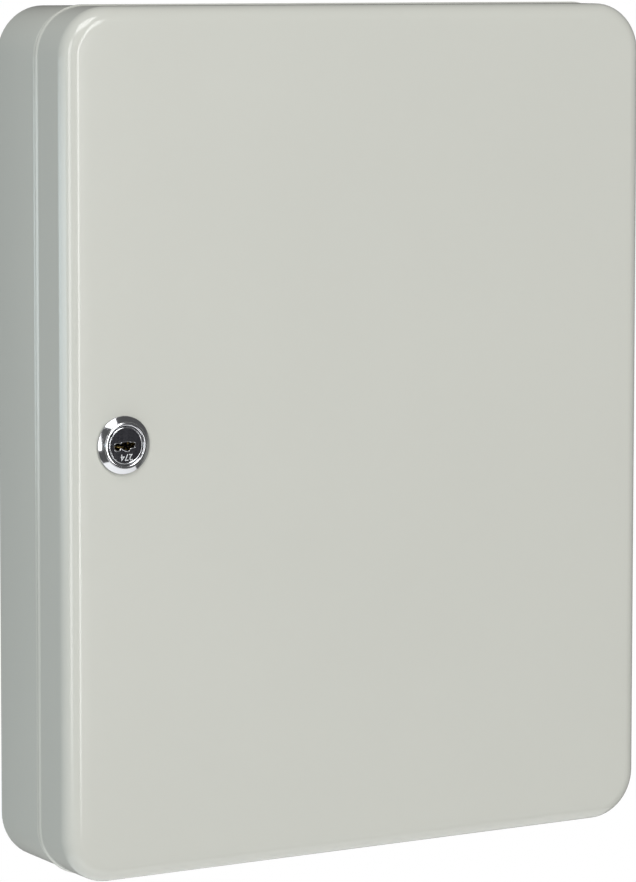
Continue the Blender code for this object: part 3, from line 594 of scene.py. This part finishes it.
def strip_part(node_name, towards):
    """The hinge strip: from beside the knuckles across the pan's edge, round a bend and along the inner wall.
    A centre line in plan is thickened and drawn upright; each weld is a cosine dimple 5 mm across."""
    low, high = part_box(node_name)
    thick = STRIP
    near = HINGE.y + towards * STRIP_OFFSET
    inner_x = low.x + thick / 2
    end_y = (high.y if towards > 0 else low.y)
    turn = np.radians(np.linspace(90, 180, 9))
    curve = 0.9 * MM
    line = np.concatenate([
        [[HINGE.x - KNUCKLE - 0.3 * MM, near]],
        np.stack([inner_x + curve + curve * np.cos(turn),
                  near + towards * (curve - curve * np.sin(turn))], axis=1),
        np.stack([np.full(14, inner_x), np.linspace(near + towards * (curve + 0.4 * MM), end_y, 14)], axis=1),
    ])
    along = np.gradient(line, axis=0)
    along /= np.linalg.norm(along, axis=1, keepdims=True)
    side = np.stack([-along[:, 1], along[:, 0]], axis=1) * thick / 2
    section = np.concatenate([line + side, (line - side)[::-1]])
    height = np.linspace(low.z, high.z, 601)
    points = np.zeros((len(height), len(section), 3))
    points[..., :2] = section[None]
    points[..., 2] = height[:, None]
    weld_z = (np.arange(6) - 2.5) * (high.z - low.z) / 6
    weld_y = near + towards * 6.5 * MM
    far = np.hypot(points[..., 1, None] - weld_y, points[..., 2, None] - weld_z).min(axis=-1)
    dimple = 0.18 * MM * (1 + np.cos(np.pi * np.clip(far / (2.5 * MM), 0, 1))) / 2
    on_wall = points[..., 0] < inner_x + thick
    points[..., 0] += np.where(on_wall, dimple, 0)
    return points, tube_faces(len(height), len(section))


def knuckle_parts(first, towards):
    """Every other tube along the hinge, a gap apart from its neighbours, each with the neck that runs on into
    it from the strip."""
    low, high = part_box("case_hinge_leaf")
    pitch = (high.z - low.z) / KNUCKLE_COUNT
    near = HINGE.y + towards * STRIP_OFFSET
    across = (HINGE.x - KNUCKLE - 0.5 * MM, HINGE.x - KNUCKLE + 0.75 * MM)
    parts = []
    for index in range(first, KNUCKLE_COUNT, 2):
        foot = low.z + index * pitch + KNUCKLE_GAP / 2
        head = foot + pitch - KNUCKLE_GAP
        parts.append(upright_ring(PIN + 0.2 * MM, KNUCKLE, foot, head))
        parts.append(block_part(across, (near - STRIP / 2, near + STRIP / 2), (foot, head)))
    return parts


def pin_part():
    """The hinge wire with a domed head at each end: a radius for each height, turned about the axis."""
    low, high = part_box("hinge_pin")
    head = 1.0 * MM
    dome = np.radians(np.linspace(0, 90, 7))
    wide = 1.75 * MM
    top = np.stack([wide * np.sin(dome), high.z - head * (1 - np.cos(dome))], axis=1)
    bottom = np.stack([wide * np.sin(dome), low.z + head * (1 - np.cos(dome))], axis=1)[::-1]
    profile = np.concatenate([top, [[PIN, high.z - head], [PIN, low.z + head]], bottom])
    return turned_upright(profile, 32, HINGE.x, HINGE.y), grid_quads(32, len(profile), wrap_rows=True)


for node_name, body, towards, first in (("case_hinge_leaf", "case", 1, 0),
                                        ("door_hinge_leaf", "door", -1, 1)):
    mesh = make_mesh(node_name + "_fine", [strip_part(node_name, towards)] + knuckle_parts(first, towards))
    made = piece(node_name + "_fine", mesh, body, ZINC, node_name)
    print(made.name, len(made.data.polygons), "faces")
piece("hinge_pin_fine", make_mesh("hinge_pin_fine", [pin_part()]), "case", ZINC, "hinge_pin")

# %% [markdown]
# ## The cam lock's fixed half
#
# The head is one casting: a sloping collar, a narrow polished lip and a recess for the plug's face. Behind
# it the barrel carries a fine thread for the nut, with two flats that stop it turning in the door. The
# thread is a helix: the radius falls and rises once per pitch, and its height shifts by one pitch each
# turn.

# %% Lock housing
plug_low, plug_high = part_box("lock_plug")
housing_low, housing_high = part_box("lock_housing")
HEAD_RADIUS = (housing_high.x - housing_low.x) / 2
HEAD_TOP = door_low.y - housing_low.y
BARREL_END = door_low.y - housing_high.y
FACE_RADIUS = (plug_high.x - plug_low.x) / 2
FACE_TOP = door_low.y - plug_low.y


def head_profile():
    """(radius, forward) of the casting from the mouth of its recess, out over lip and collar, down to the
    door, and back to the barrel."""
    seat = 0.3 * MM
    recess = FACE_RADIUS + 0.25 * MM
    lip = recess + 1.75 * MM
    return np.concatenate([
        [[recess, HEAD_TOP - 1.9 * MM], [recess, HEAD_TOP - 0.75 * MM]],
        bend(recess + 0.75 * MM, HEAD_TOP - 0.75 * MM, 0.75 * MM, 180, 80, 8),
        bend(lip - 0.35 * MM, HEAD_TOP - 0.40 * MM, 0.35 * MM, 75, 0, 5),
        [[lip + 0.05 * MM, HEAD_TOP - 0.72 * MM]],
        bend(HEAD_RADIUS - 0.35 * MM, seat + 0.55 * MM, 0.35 * MM, 58, 0, 5),
        [[HEAD_RADIUS, seat], [BARREL, seat]],
    ])


def barrel_points(steps=72):
    """The threaded barrel: radius = barrel - depth x triangle wave of (height / pitch + turn), with its flats
    made by clipping."""
    pitch = 1.0 * MM
    height = np.linspace(-1.0 * MM, BARREL_END, 8 * 29 + 1)
    angle = np.linspace(0, 2 * np.pi, steps, endpoint=False)[:, None]
    phase = (height[None, :] / pitch + angle / (2 * np.pi)) % 1.0
    wave = np.abs(2 * phase - 1)
    runout = np.clip((height - BARREL_END) / (0.8 * MM), 0, 1)[None, :]
    radius = BARREL - 0.45 * MM * (1 - wave * runout)
    across = radius * np.cos(angle)
    up = np.clip(radius * np.sin(angle), -BARREL_HALF_FLATS, BARREL_HALF_FLATS)
    back = np.broadcast_to(door_low.y - height[None, :], across.shape)
    return np.stack([LOCK.x + across, back, LOCK.z + up], -1)


def ring_points(profile, steps=72):
    """A profile of (radius, forward) turned about the lock's axis."""
    return turned_part(profile, door_face, steps)[0]


bore_radius = 6.7 * MM
neck = np.array([[BARREL, 0.0], [BARREL, -0.9 * MM]])
inside = np.array([[BARREL - 0.5 * MM, BARREL_END], [bore_radius + 0.3 * MM, BARREL_END],
                   [bore_radius, BARREL_END + 0.3 * MM], [bore_radius, HEAD_TOP - 1.95 * MM]])
housing_grid = np.concatenate([ring_points(head_profile()), ring_points(neck), barrel_points(),
                               ring_points(inside)], axis=1)
housing_faces = grid_quads(72, housing_grid.shape[1], wrap_rows=True, wrap_columns=True)
piece("lock_housing_fine", make_mesh("lock_housing_fine", [(housing_grid, housing_faces)]), "door", CHROME,
      "lock_housing")
print("housing grid", housing_grid.shape[:2])

# %% [markdown]
# ## The plug and its keyway
#
# The plug's face is lacquered, but its turned edge and the broached sides of the keyway stay bright. So the
# face is a disc with the keyway cut through it, and the bright metal is two thin bands: one round the disc
# and one that lines the keyway. The keyway's outline has a wide end, where the first wafer shows, and a
# lobe for the key's rib.

# %% Plug, keyway and bright edges
KEYWAY = np.array([(-5.5, 0.5), (-4.8, 1.0), (-3.0, 1.0), (-2.3, 0.6), (-1.9, 1.3), (2.0, 1.5), (2.4, 1.1),
                   (4.5, 1.2), (4.5, -1.0), (2.2, -1.1), (1.5, -2.5), (0.6, -2.4), (-1.0, -1.8), (-2.3, -0.9),
                   (-3.2, -2.0), (-4.8, -2.0), (-5.5, -1.2)]) * MM


def eased(outline, rounds=2, share=0.22):
    """Cuts each corner of a closed outline off at this share of its sides, round after round, so that a
    broached outline gets its tool's small radii."""
    for _ in range(rounds):
        after = np.roll(outline, -1, axis=0)
        near = (1 - share) * outline + share * after
        far = share * outline + (1 - share) * after
        outline = np.stack([near, far], axis=1).reshape(-1, 2)
    return outline


def grown(outline, distance):
    """Each point of a closed outline moved outwards by a distance, along the mean normal of its two sides."""
    before = outline - np.roll(outline, 1, axis=0)
    after = np.roll(outline, -1, axis=0) - outline
    normal = before / np.linalg.norm(before, axis=1, keepdims=True) + after / np.linalg.norm(after, axis=1,
                                                                                            keepdims=True)
    normal = np.stack([normal[:, 1], -normal[:, 0]], axis=1)
    normal /= np.linalg.norm(normal, axis=1, keepdims=True)
    area = np.sum(outline[:, 0] * np.roll(outline[:, 1], -1) - np.roll(outline[:, 0], -1) * outline[:, 1])
    return outline + np.sign(area) * distance * normal


def on_lock(outline, forward):
    """Points of a flat outline placed on the lock's axis, this far forward of the door's face."""
    back = np.full(len(outline), door_low.y - forward)
    return np.stack([LOCK.x + outline[:, 0], back, LOCK.z + outline[:, 1]], 1)


def prism_part(outline, back, front):
    """A closed outline drawn from back to front."""
    points = np.concatenate([on_lock(outline, back), on_lock(outline, front)])
    return points, tube_faces(2, len(outline))


edge = 0.7 * MM
keyway = eased(KEYWAY)
plug_radius = 6.4 * MM
disc = FACE_RADIUS - edge
plug_profile = np.array([[0, FACE_TOP], [disc, FACE_TOP], [disc, FACE_TOP - 1.2 * MM],
                         [plug_radius, FACE_TOP - 1.4 * MM], [plug_radius, BARREL_END], [0, BARREL_END]])
plug_solid = make_mesh("plug_solid", [turned_part(plug_profile[::-1], door_face, 72)])
plug_cut = make_mesh("plug_cut", [prism_part(grown(keyway, 0.2 * MM), BARREL_END + 10 * MM, FACE_TOP + MM)])
plug = piece("plug_face", punched(plug_solid, plug_cut), "lock", LACQUER, "lock_plug")
half_tang = 4.0 * MM
square = eased(np.array([(-1, -1), (1, -1), (1, 1), (-1, 1)]) * half_tang, 1, 0.06)
tang = prism_part(square, door_low.y - plug_high.y, BARREL_END)


def bright_band(outline, outer, back, front, ease):
    """A thin wall that follows an outline: inner side, eased front edge, outer side, as a closed band."""
    rings = [on_lock(outline, back), on_lock(outline, front - ease), on_lock(grown(outline, ease), front),
             on_lock(grown(outline, outer - ease), front), on_lock(grown(outline, outer), front - ease),
             on_lock(grown(outline, outer), back)]
    points = np.stack(rings, axis=1)
    return points, grid_quads(len(outline), len(rings), wrap_rows=True, wrap_columns=True)


rim_profile = np.concatenate([
    [[disc + 0.02 * MM, FACE_TOP - 1.0 * MM], [disc + 0.02 * MM, FACE_TOP - 0.02 * MM]],
    bend(FACE_RADIUS - 0.45 * MM, FACE_TOP - 0.40 * MM, 0.45 * MM, 95, 0, 6),
    [[FACE_RADIUS, FACE_TOP - 1.0 * MM]],
])
rim_faces = grid_quads(72, len(rim_profile), wrap_rows=True, wrap_columns=True)
lining = bright_band(keyway, 0.42 * MM, FACE_TOP - 5.0 * MM, FACE_TOP + 0.12 * MM, 0.13 * MM)
bright_mesh = make_mesh("plug_bright_edges", [(ring_points(rim_profile), rim_faces), lining])
bright = piece("plug_bright_edges", bright_mesh, "lock", CHROME)
piece("plug_tang", make_mesh("plug_tang", [tang]), "lock", ZINC)
print("plug", len(plug.data.polygons), "faces")

# %% [markdown]
# ### The key number
#
# A lock maker stamps a key number on the plug, below the keyway. Any number does here. The digits are a
# text curve, filled, thickened and made a mesh, then stood up on the face; the stamp is filled with a
# bright paint.

# %% Numbers as meshes
def number_points(text, height, thickness, smoothness=2):
    """Text as points (across, up, out) centred on the origin, and its faces."""
    curve = bpy.data.curves.new("digits", "FONT")
    curve.body = text
    curve.size = height / 0.72
    curve.align_x = "CENTER"
    curve.align_y = "CENTER"
    curve.extrude = thickness / 2
    curve.resolution_u = smoothness
    drawn = bpy.data.objects.new("digits", curve)
    bpy.context.scene.collection.objects.link(drawn)
    bpy.context.view_layer.update()
    mesh = bpy.data.meshes.new_from_object(drawn.evaluated_get(bpy.context.evaluated_depsgraph_get()))
    points = np.zeros(len(mesh.vertices) * 3)
    mesh.vertices.foreach_get("co", points)
    faces = [tuple(face.vertices) for face in mesh.polygons]
    bpy.data.objects.remove(drawn)
    return points.reshape(-1, 3), faces


def key_number():
    """Digits 2.9 mm high, turned upside down as the plug was fitted, standing 0.05 mm proud of the face."""
    points, faces = number_points("274", 2.9 * MM, 0.1 * MM, 4)
    turned = -points[:, :2]
    placed = np.stack([LOCK.x + turned[:, 0] + 0.3 * MM, door_low.y - FACE_TOP - points[:, 2],
                       LOCK.z + turned[:, 1] - 5.0 * MM], axis=1)
    return placed, faces


digits = piece("key_number", make_mesh("key_number", [key_number()]), "lock", STAMP_PAINT)
print("key number", len(digits.data.polygons), "faces")

# %% [markdown]
# ## Small parts that keep the engineering shape
#
# Nut, washers, cam, screw, keep and columns have the right shape already. A copy of each is merged, its
# flat faces are joined up again, and a fine bevel breaks its edges as tumbling does. Light then runs along
# every edge, which is what makes a small part look like metal and not like a drawing.

# %% Eased copies
def eased_copy(node_name, finish, ease):
    """A merged copy of a node's mesh with every edge above 30 degrees rounded by ease."""
    mesh = frame["nodes"][node_name].data.copy()
    mesh.name = node_name + "_eased"
    bm = bmesh.new()
    bm.from_mesh(mesh)
    bmesh.ops.remove_doubles(bm, verts=bm.verts, dist=1e-6)
    bmesh.ops.dissolve_limit(bm, angle_limit=math.radians(1), verts=bm.verts, edges=bm.edges)
    bm.to_mesh(mesh)
    bm.free()
    obj = piece(node_name + "_eased", mesh, BODY_OF[node_name], finish, node_name)
    soften = obj.modifiers.new("Ease", "BEVEL")
    soften.width = ease
    soften.segments = 2
    soften.limit_method = "ANGLE"
    soften.angle_limit = math.radians(30)
    soften.harden_normals = True
    return obj


eased_parts = {
    "lock_nut": (ZINC, 0.25), "lock_washer": (ZINC, 0.12), "lock_cam": (ZINC, 0.2),
    "turn_stop_washer": (ZINC, 0.1),
    "cam_spring_washer": (ZINC, 0.15), "cam_screw": (ZINC, 0.2), "lock_keep": (ZINC, 0.18),
    "case_left_column": (ZINC, 0.15), "case_right_column": (ZINC, 0.15),
    "door_left_column": (ZINC, 0.15), "door_right_column": (ZINC, 0.15),
}
for node_name, (finish, ease_mm) in eased_parts.items():
    eased_copy(node_name, finish, ease_mm * MM)
for index in range(1, 6):
    eased_copy(f"lock_wafer_{index}", BRASS, 0.1 * MM)
print("eased", len(eased_parts) + 5, "small parts")

# %% [markdown]
# ## Hook rails
#
# A rail is one moulding. Its strip is an extruded section with two lips that hold the label. Each hook is a
# bar with a rounded section that tapers a little towards its tip and turns up in a quarter circle. The
# section is carried along the hook's centre line; each hook is only 10 x 12 faces, because there are a
# hundred of them.

# %% Rails with hooks
RAIL_BEHIND = 5.6 * MM
HOOK_PITCH = 25 * MM
HOOKS = 10


def rail_axes(node_name):
    """The rail's place: its back face's middle, and the directions out of the pan and along."""
    low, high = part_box(node_name)
    middle_z = (low.z + high.z) / 2
    if BODY_OF[node_name] == "case":
        back = case_high.y - SHEET - RAIL_BEHIND
        return np.array([0.0, back, middle_z]), -1.0, high.x - low.x, high.z - low.z
    back = door_low.y + SHEET + RAIL_BEHIND
    return np.array([0.0, back, middle_z]), 1.0, high.x - low.x, high.z - low.z


def rail_section(height):
    """(out, up) round the strip and its two lips, with each outer corner eased by 0.3 mm."""
    top = height / 2
    plate = 2.0 * MM
    lip = 0.8 * MM
    catch = 1.0 * MM
    face = plate + 0.9 * MM
    front = face + lip
    slot_top = top - lip
    slot_low = slot_top - 12.0 * MM
    ease = 0.3 * MM
    return np.array([
        (0, -top + ease), (ease, -top), (plate - ease, -top), (plate, -top + ease),
        (plate, slot_low - lip - ease),
        (plate + ease, slot_low - lip), (front - ease, slot_low - lip), (front, slot_low - lip + ease),
        (front, slot_low + catch - ease), (front - ease, slot_low + catch), (face, slot_low + catch),
        (face, slot_low), (plate, slot_low), (plate, slot_top), (face, slot_top), (face, slot_top - catch),
        (front - ease, slot_top - catch), (front, slot_top - catch + ease), (front, top - ease),
        (front - ease, top),
        (ease, top), (0, top - ease),
    ])


def hook_grid(height):
    """A rounded bar carried along the hook's centre line, in (out, up, along): the section is a superellipse
    |a|^4 + |b|^4 = 1, its width shrinks by 12 % to the tip, and the last rings close in a dome."""
    thick = 1.8 * MM
    width = 4.5 * MM
    turn = 1.9 * MM
    low = -height / 2 + thick * 1.5
    reach = 15.0 * MM - thick / 2
    angle = np.radians(np.linspace(-90, 0, 5))
    line = np.concatenate([
        [[1.2 * MM, low], [7 * MM, low]],
        np.stack([reach - turn + turn * np.cos(angle), low + turn + turn * np.sin(angle)], axis=1),
        [[reach, low + turn + 1.8 * MM], [reach, low + turn + 3.6 * MM], [reach, low + turn + 4.1 * MM],
         [reach, low + turn + 4.35 * MM]],
    ])
    size = np.concatenate([np.ones(len(line) - 3), [0.97, 0.8, 0.42]])
    width_here = np.linspace(1.0, 0.88, len(line)) * size
    along = np.gradient(line, axis=0)
    along /= np.linalg.norm(along, axis=1, keepdims=True)
    side = np.stack([-along[:, 1], along[:, 0]], axis=1)
    angle = np.linspace(0, 2 * np.pi, 12, endpoint=False)
    a = np.sign(np.cos(angle)) * np.abs(np.cos(angle)) ** 0.5
    b = np.sign(np.sin(angle)) * np.abs(np.sin(angle)) ** 0.5
    out_up = line[:, None, :] + side[:, None, :] * (a * thick / 2)[None, :, None] * size[:, None, None]
    sideways = width_here[:, None] * (b * width / 2)[None, :]
    points = np.concatenate([out_up, sideways[..., None]], axis=-1)
    return points, tube_faces(*points.shape[:2])


def tab_part():
    """The hooked tab behind the rail, which hangs on the column's slot, in (out, up, along)."""
    outline = np.array([(1.0, 0.05), (1.0, 0.95), (-2.45, 0.95), (-2.55, 0.85), (-2.55, -2.4), (-2.4, -2.55),
                        (-1.75, -2.55), (-1.65, -2.4), (-1.65, 0.05)]) * MM
    half = 3.0 * MM
    points = np.concatenate([np.column_stack([outline, np.full(len(outline), side)])
                             for side in (-half, half)])
    return points, tube_faces(2, len(outline))


def place_on_rail(points, origin, facing):
    """Turns (out, up, along) points to the cabinet's axes: out is facing x Y, along is facing x X."""
    flat = np.asarray(points).reshape(-1, 3)
    out, up, along = flat.T
    return np.stack([origin[0] + facing * along, origin[1] + facing * out, origin[2] + up], 1)


def rail_mesh(name, node_name):
    """The strip with its ten hooks and the two tabs behind it."""
    origin, facing, length, height = rail_axes(node_name)
    section = rail_section(height)
    strip = np.stack([np.column_stack([section, np.full(len(section), end)])
                      for end in (-length / 2, length / 2)])
    parts = [(place_on_rail(strip, origin, facing), tube_faces(2, len(section)))]
    hook_points, hook_faces = hook_grid(height)
    for place in (np.arange(HOOKS) - (HOOKS - 1) / 2) * HOOK_PITCH:
        parts.append((place_on_rail(hook_points + [0, 0, place], origin, facing), hook_faces))
    tab_points, tab_faces = tab_part()
    column_low, column_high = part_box("case_right_column")
    for side in (-1, 1):
        place = side * (column_low.x + column_high.x) / 2
        parts.append((place_on_rail(tab_points + [0, 0, place], origin, facing), tab_faces))
    return make_mesh(name, parts)


for pan_name in ("case", "door"):
    for index in range(1, 6):
        node_name = f"{pan_name}_hook_rail_{index}"
        made = piece(node_name + "_fine", rail_mesh(node_name, node_name), pan_name, ABS, node_name)
print("each rail has", len(made.data.polygons), "faces")

# %% [markdown]
# ## Label strips
#
# The strip is card, cut with a guillotine and slid in from the end. It bows a little between its lips. The
# numbers run from left to right and from rail to rail: the case holds 1 to 50 and the door 51 to 100.

# %% Cards and numbers
def card_place(node_name):
    """A card's corners, the way it faces along Y, and the Y of its back."""
    low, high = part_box(node_name)
    facing = -1.0 if BODY_OF[node_name] == "case" else 1.0
    return low, high, facing, low.y if facing > 0 else high.y


def card_mesh(name, node_name):
    """The card: a grid whose middle bows out by 0.08 mm, as cosine of its height, thickened to 0.4 mm."""
    low, high, facing, back = card_place(node_name)
    across = np.linspace(low.x, high.x, 41)
    up = np.linspace(low.z, high.z, 9)
    x, z = np.meshgrid(across, up, indexing="ij")
    bow = 0.08 * MM * np.cos(np.pi * (z - (low.z + high.z) / 2) / (high.z - low.z))
    near = np.stack([x, np.full_like(x, back) + facing * 0.01 * MM, z], axis=-1)
    far = np.stack([x, back + facing * (0.38 * MM + bow), z], axis=-1)
    rows, columns = x.shape
    loop = np.concatenate([near, far[:, ::-1]], axis=1)
    return make_mesh(name, [(loop, tube_faces(rows, 2 * columns))])


def strip_numbers(name, node_name, first):
    """Ten numbers, each over its hook, standing 0.02 mm proud of the card."""
    low, high, facing, back = card_place(node_name)
    reading = -facing
    parts = []
    for index in range(HOOKS):
        points, faces = number_points(str(first + index), 4.6 * MM, 0.04 * MM)
        centre = reading * (index - (HOOKS - 1) / 2) * HOOK_PITCH
        placed = np.stack([centre + reading * points[:, 0], back + facing * (0.46 * MM + points[:, 2]),
                           (low.z + high.z) / 2 + points[:, 1]], axis=1)
        parts.append((placed, faces))
    return make_mesh(name, parts)


for pan_name, offset in (("case", 1), ("door", 51)):
    for index in range(1, 6):
        node_name = f"{pan_name}_label_strip_{index}"
        piece(node_name + "_fine", card_mesh(node_name + "_fine", node_name), pan_name, CARD, node_name)
        name = f"{pan_name}_numbers_{index}"
        printed = piece(name, strip_numbers(name, node_name, offset + (index - 1) * HOOKS), pan_name, INK)
print("last number strip has", len(printed.data.polygons), "faces")

# %% [markdown]
# ## Rubber buffers
#
# Two rubber buttons are pressed into the case's flange. Each is a turned shape: a low dome, a neck that
# fits the hole and a barb that stops it coming out.

# %% Buffers
def buffer_mesh(name, centre):
    """A dome of 2.6 mm radius, 0.4 mm high above a 0.3 mm gap, then neck and barb, turned about its line."""
    dome = np.radians(np.linspace(90, 10, 8))
    profile = np.concatenate([
        [[0, 0.7 * MM]],
        np.stack([2.6 * MM * np.cos(dome), (0.35 + 0.35 * np.sin(dome)) * MM], axis=1)[1:],
        [[2.55 * MM, 0.3 * MM], [1.5 * MM, 0.3 * MM], [1.5 * MM, -1.3 * MM], [2.2 * MM, -1.6 * MM],
         [2.25 * MM, -1.8 * MM], [1.0 * MM, -4.1 * MM], [0.8 * MM, -4.3 * MM], [0, -4.3 * MM]],
    ])
    return make_mesh(name, [turned_part(profile, centre, 32)])


for node_name, stem in zip(("lower_buffer", "upper_buffer"), stems):
    piece(node_name + "_fine", buffer_mesh(node_name + "_fine", stem), "case", RUBBER, node_name)

# %% [markdown]
# ## Floor and light
#
# The floor is a large pale sheet, far enough below the cabinet that no hard shadow falls on it. Two tall
# soft sources stand at the front, one to the right and one to the left: each draws one upright line of
# light down the door's rounded edge. A wide one above lights the front and the top, and a low, cool one
# stands at the far left. The room behind is dimmer, so that the sides stay darker than the front.

# %% Floor
def studio_paper():
    material, shader, place = new_finish("studio_paper_white", Metallic=0.0, Roughness=0.9,
                                         Emission_Strength=0.75, Emission_Color=(1, 1, 1, 1))
    fibre = noise(material, place, 4, 3.0)
    return feed(material, shader, Base_Color=blend(material, fibre, "#F2F2F2", "#F8F8F8"))


def floor_disc(radius, top, thickness, steps=96):
    """A round sheet: a closed profile (radius, height) turned about the upright through the origin."""
    profile = np.array([[0, top], [radius, top], [radius, top - thickness], [0, top - thickness]])
    return turned_upright(profile, steps), grid_quads(steps, len(profile), wrap_rows=True)


floor_z = door_low.z - 1.2
floor = bpy.data.objects.new("floor", make_mesh("floor", [floor_disc(1.5, floor_z, 0.02)]))
bpy.context.scene.collection.objects.link(floor)
floor.data.materials.append(studio_paper())
print("floor at", round(floor_z, 3))

# %% Room light
world = bpy.data.worlds.new("studio_room")
world.use_nodes = True
background = world.node_tree.nodes["Background"]
path = world.node_tree.nodes.new("ShaderNodeLightPath")
level = world.node_tree.nodes.new("ShaderNodeMapRange")
level.inputs["To Min"].default_value = 0.13
level.inputs["To Max"].default_value = 1.0
world.node_tree.links.new(path.outputs["Is Camera Ray"], level.inputs["Value"])
world.node_tree.links.new(level.outputs["Result"], background.inputs["Strength"])
background.inputs["Color"].default_value = (1.0, 1.0, 1.0, 1.0)
bpy.context.scene.world = world


# %% Soft sources
def softbox(name, azimuth, rise, distance, width, height, power, colour=(1, 1, 1)):
    """A rectangular light aimed at the cabinet; azimuth 0 is straight in front and grows to the right."""
    light = bpy.data.lights.new(name, "AREA")
    light.shape = "RECTANGLE"
    light.size = width
    light.size_y = height
    light.energy = power
    light.color = colour
    obj = bpy.data.objects.new(name, light)
    bpy.context.scene.collection.objects.link(obj)
    obj.visible_camera = False
    turn, lift = math.radians(azimuth), math.radians(rise)
    towards = Vector((math.sin(turn) * math.cos(lift), -math.cos(turn) * math.cos(lift), math.sin(lift)))
    obj.location = towards * distance
    obj.rotation_mode = "QUATERNION"
    obj.rotation_quaternion = towards.to_track_quat("Z", "Y")
    return obj


COOL = (0.80, 1.0, 1.12)
softbox("right_strip", 15, 6, 2.6, 0.48, 2.0, 20.6)
softbox("left_strip", -46, 6, 2.6, 0.7, 2.0, 17.6)
softbox("left_bank", -102, -2, 2.6, 3.2, 0.5, 13.6, COOL)
softbox("overhead", -20, 50, 3.0, 1.8, 1.3, 46)

scene_view = bpy.context.scene.view_settings
scene_view.view_transform = "Standard"
scene_view.look = "None"
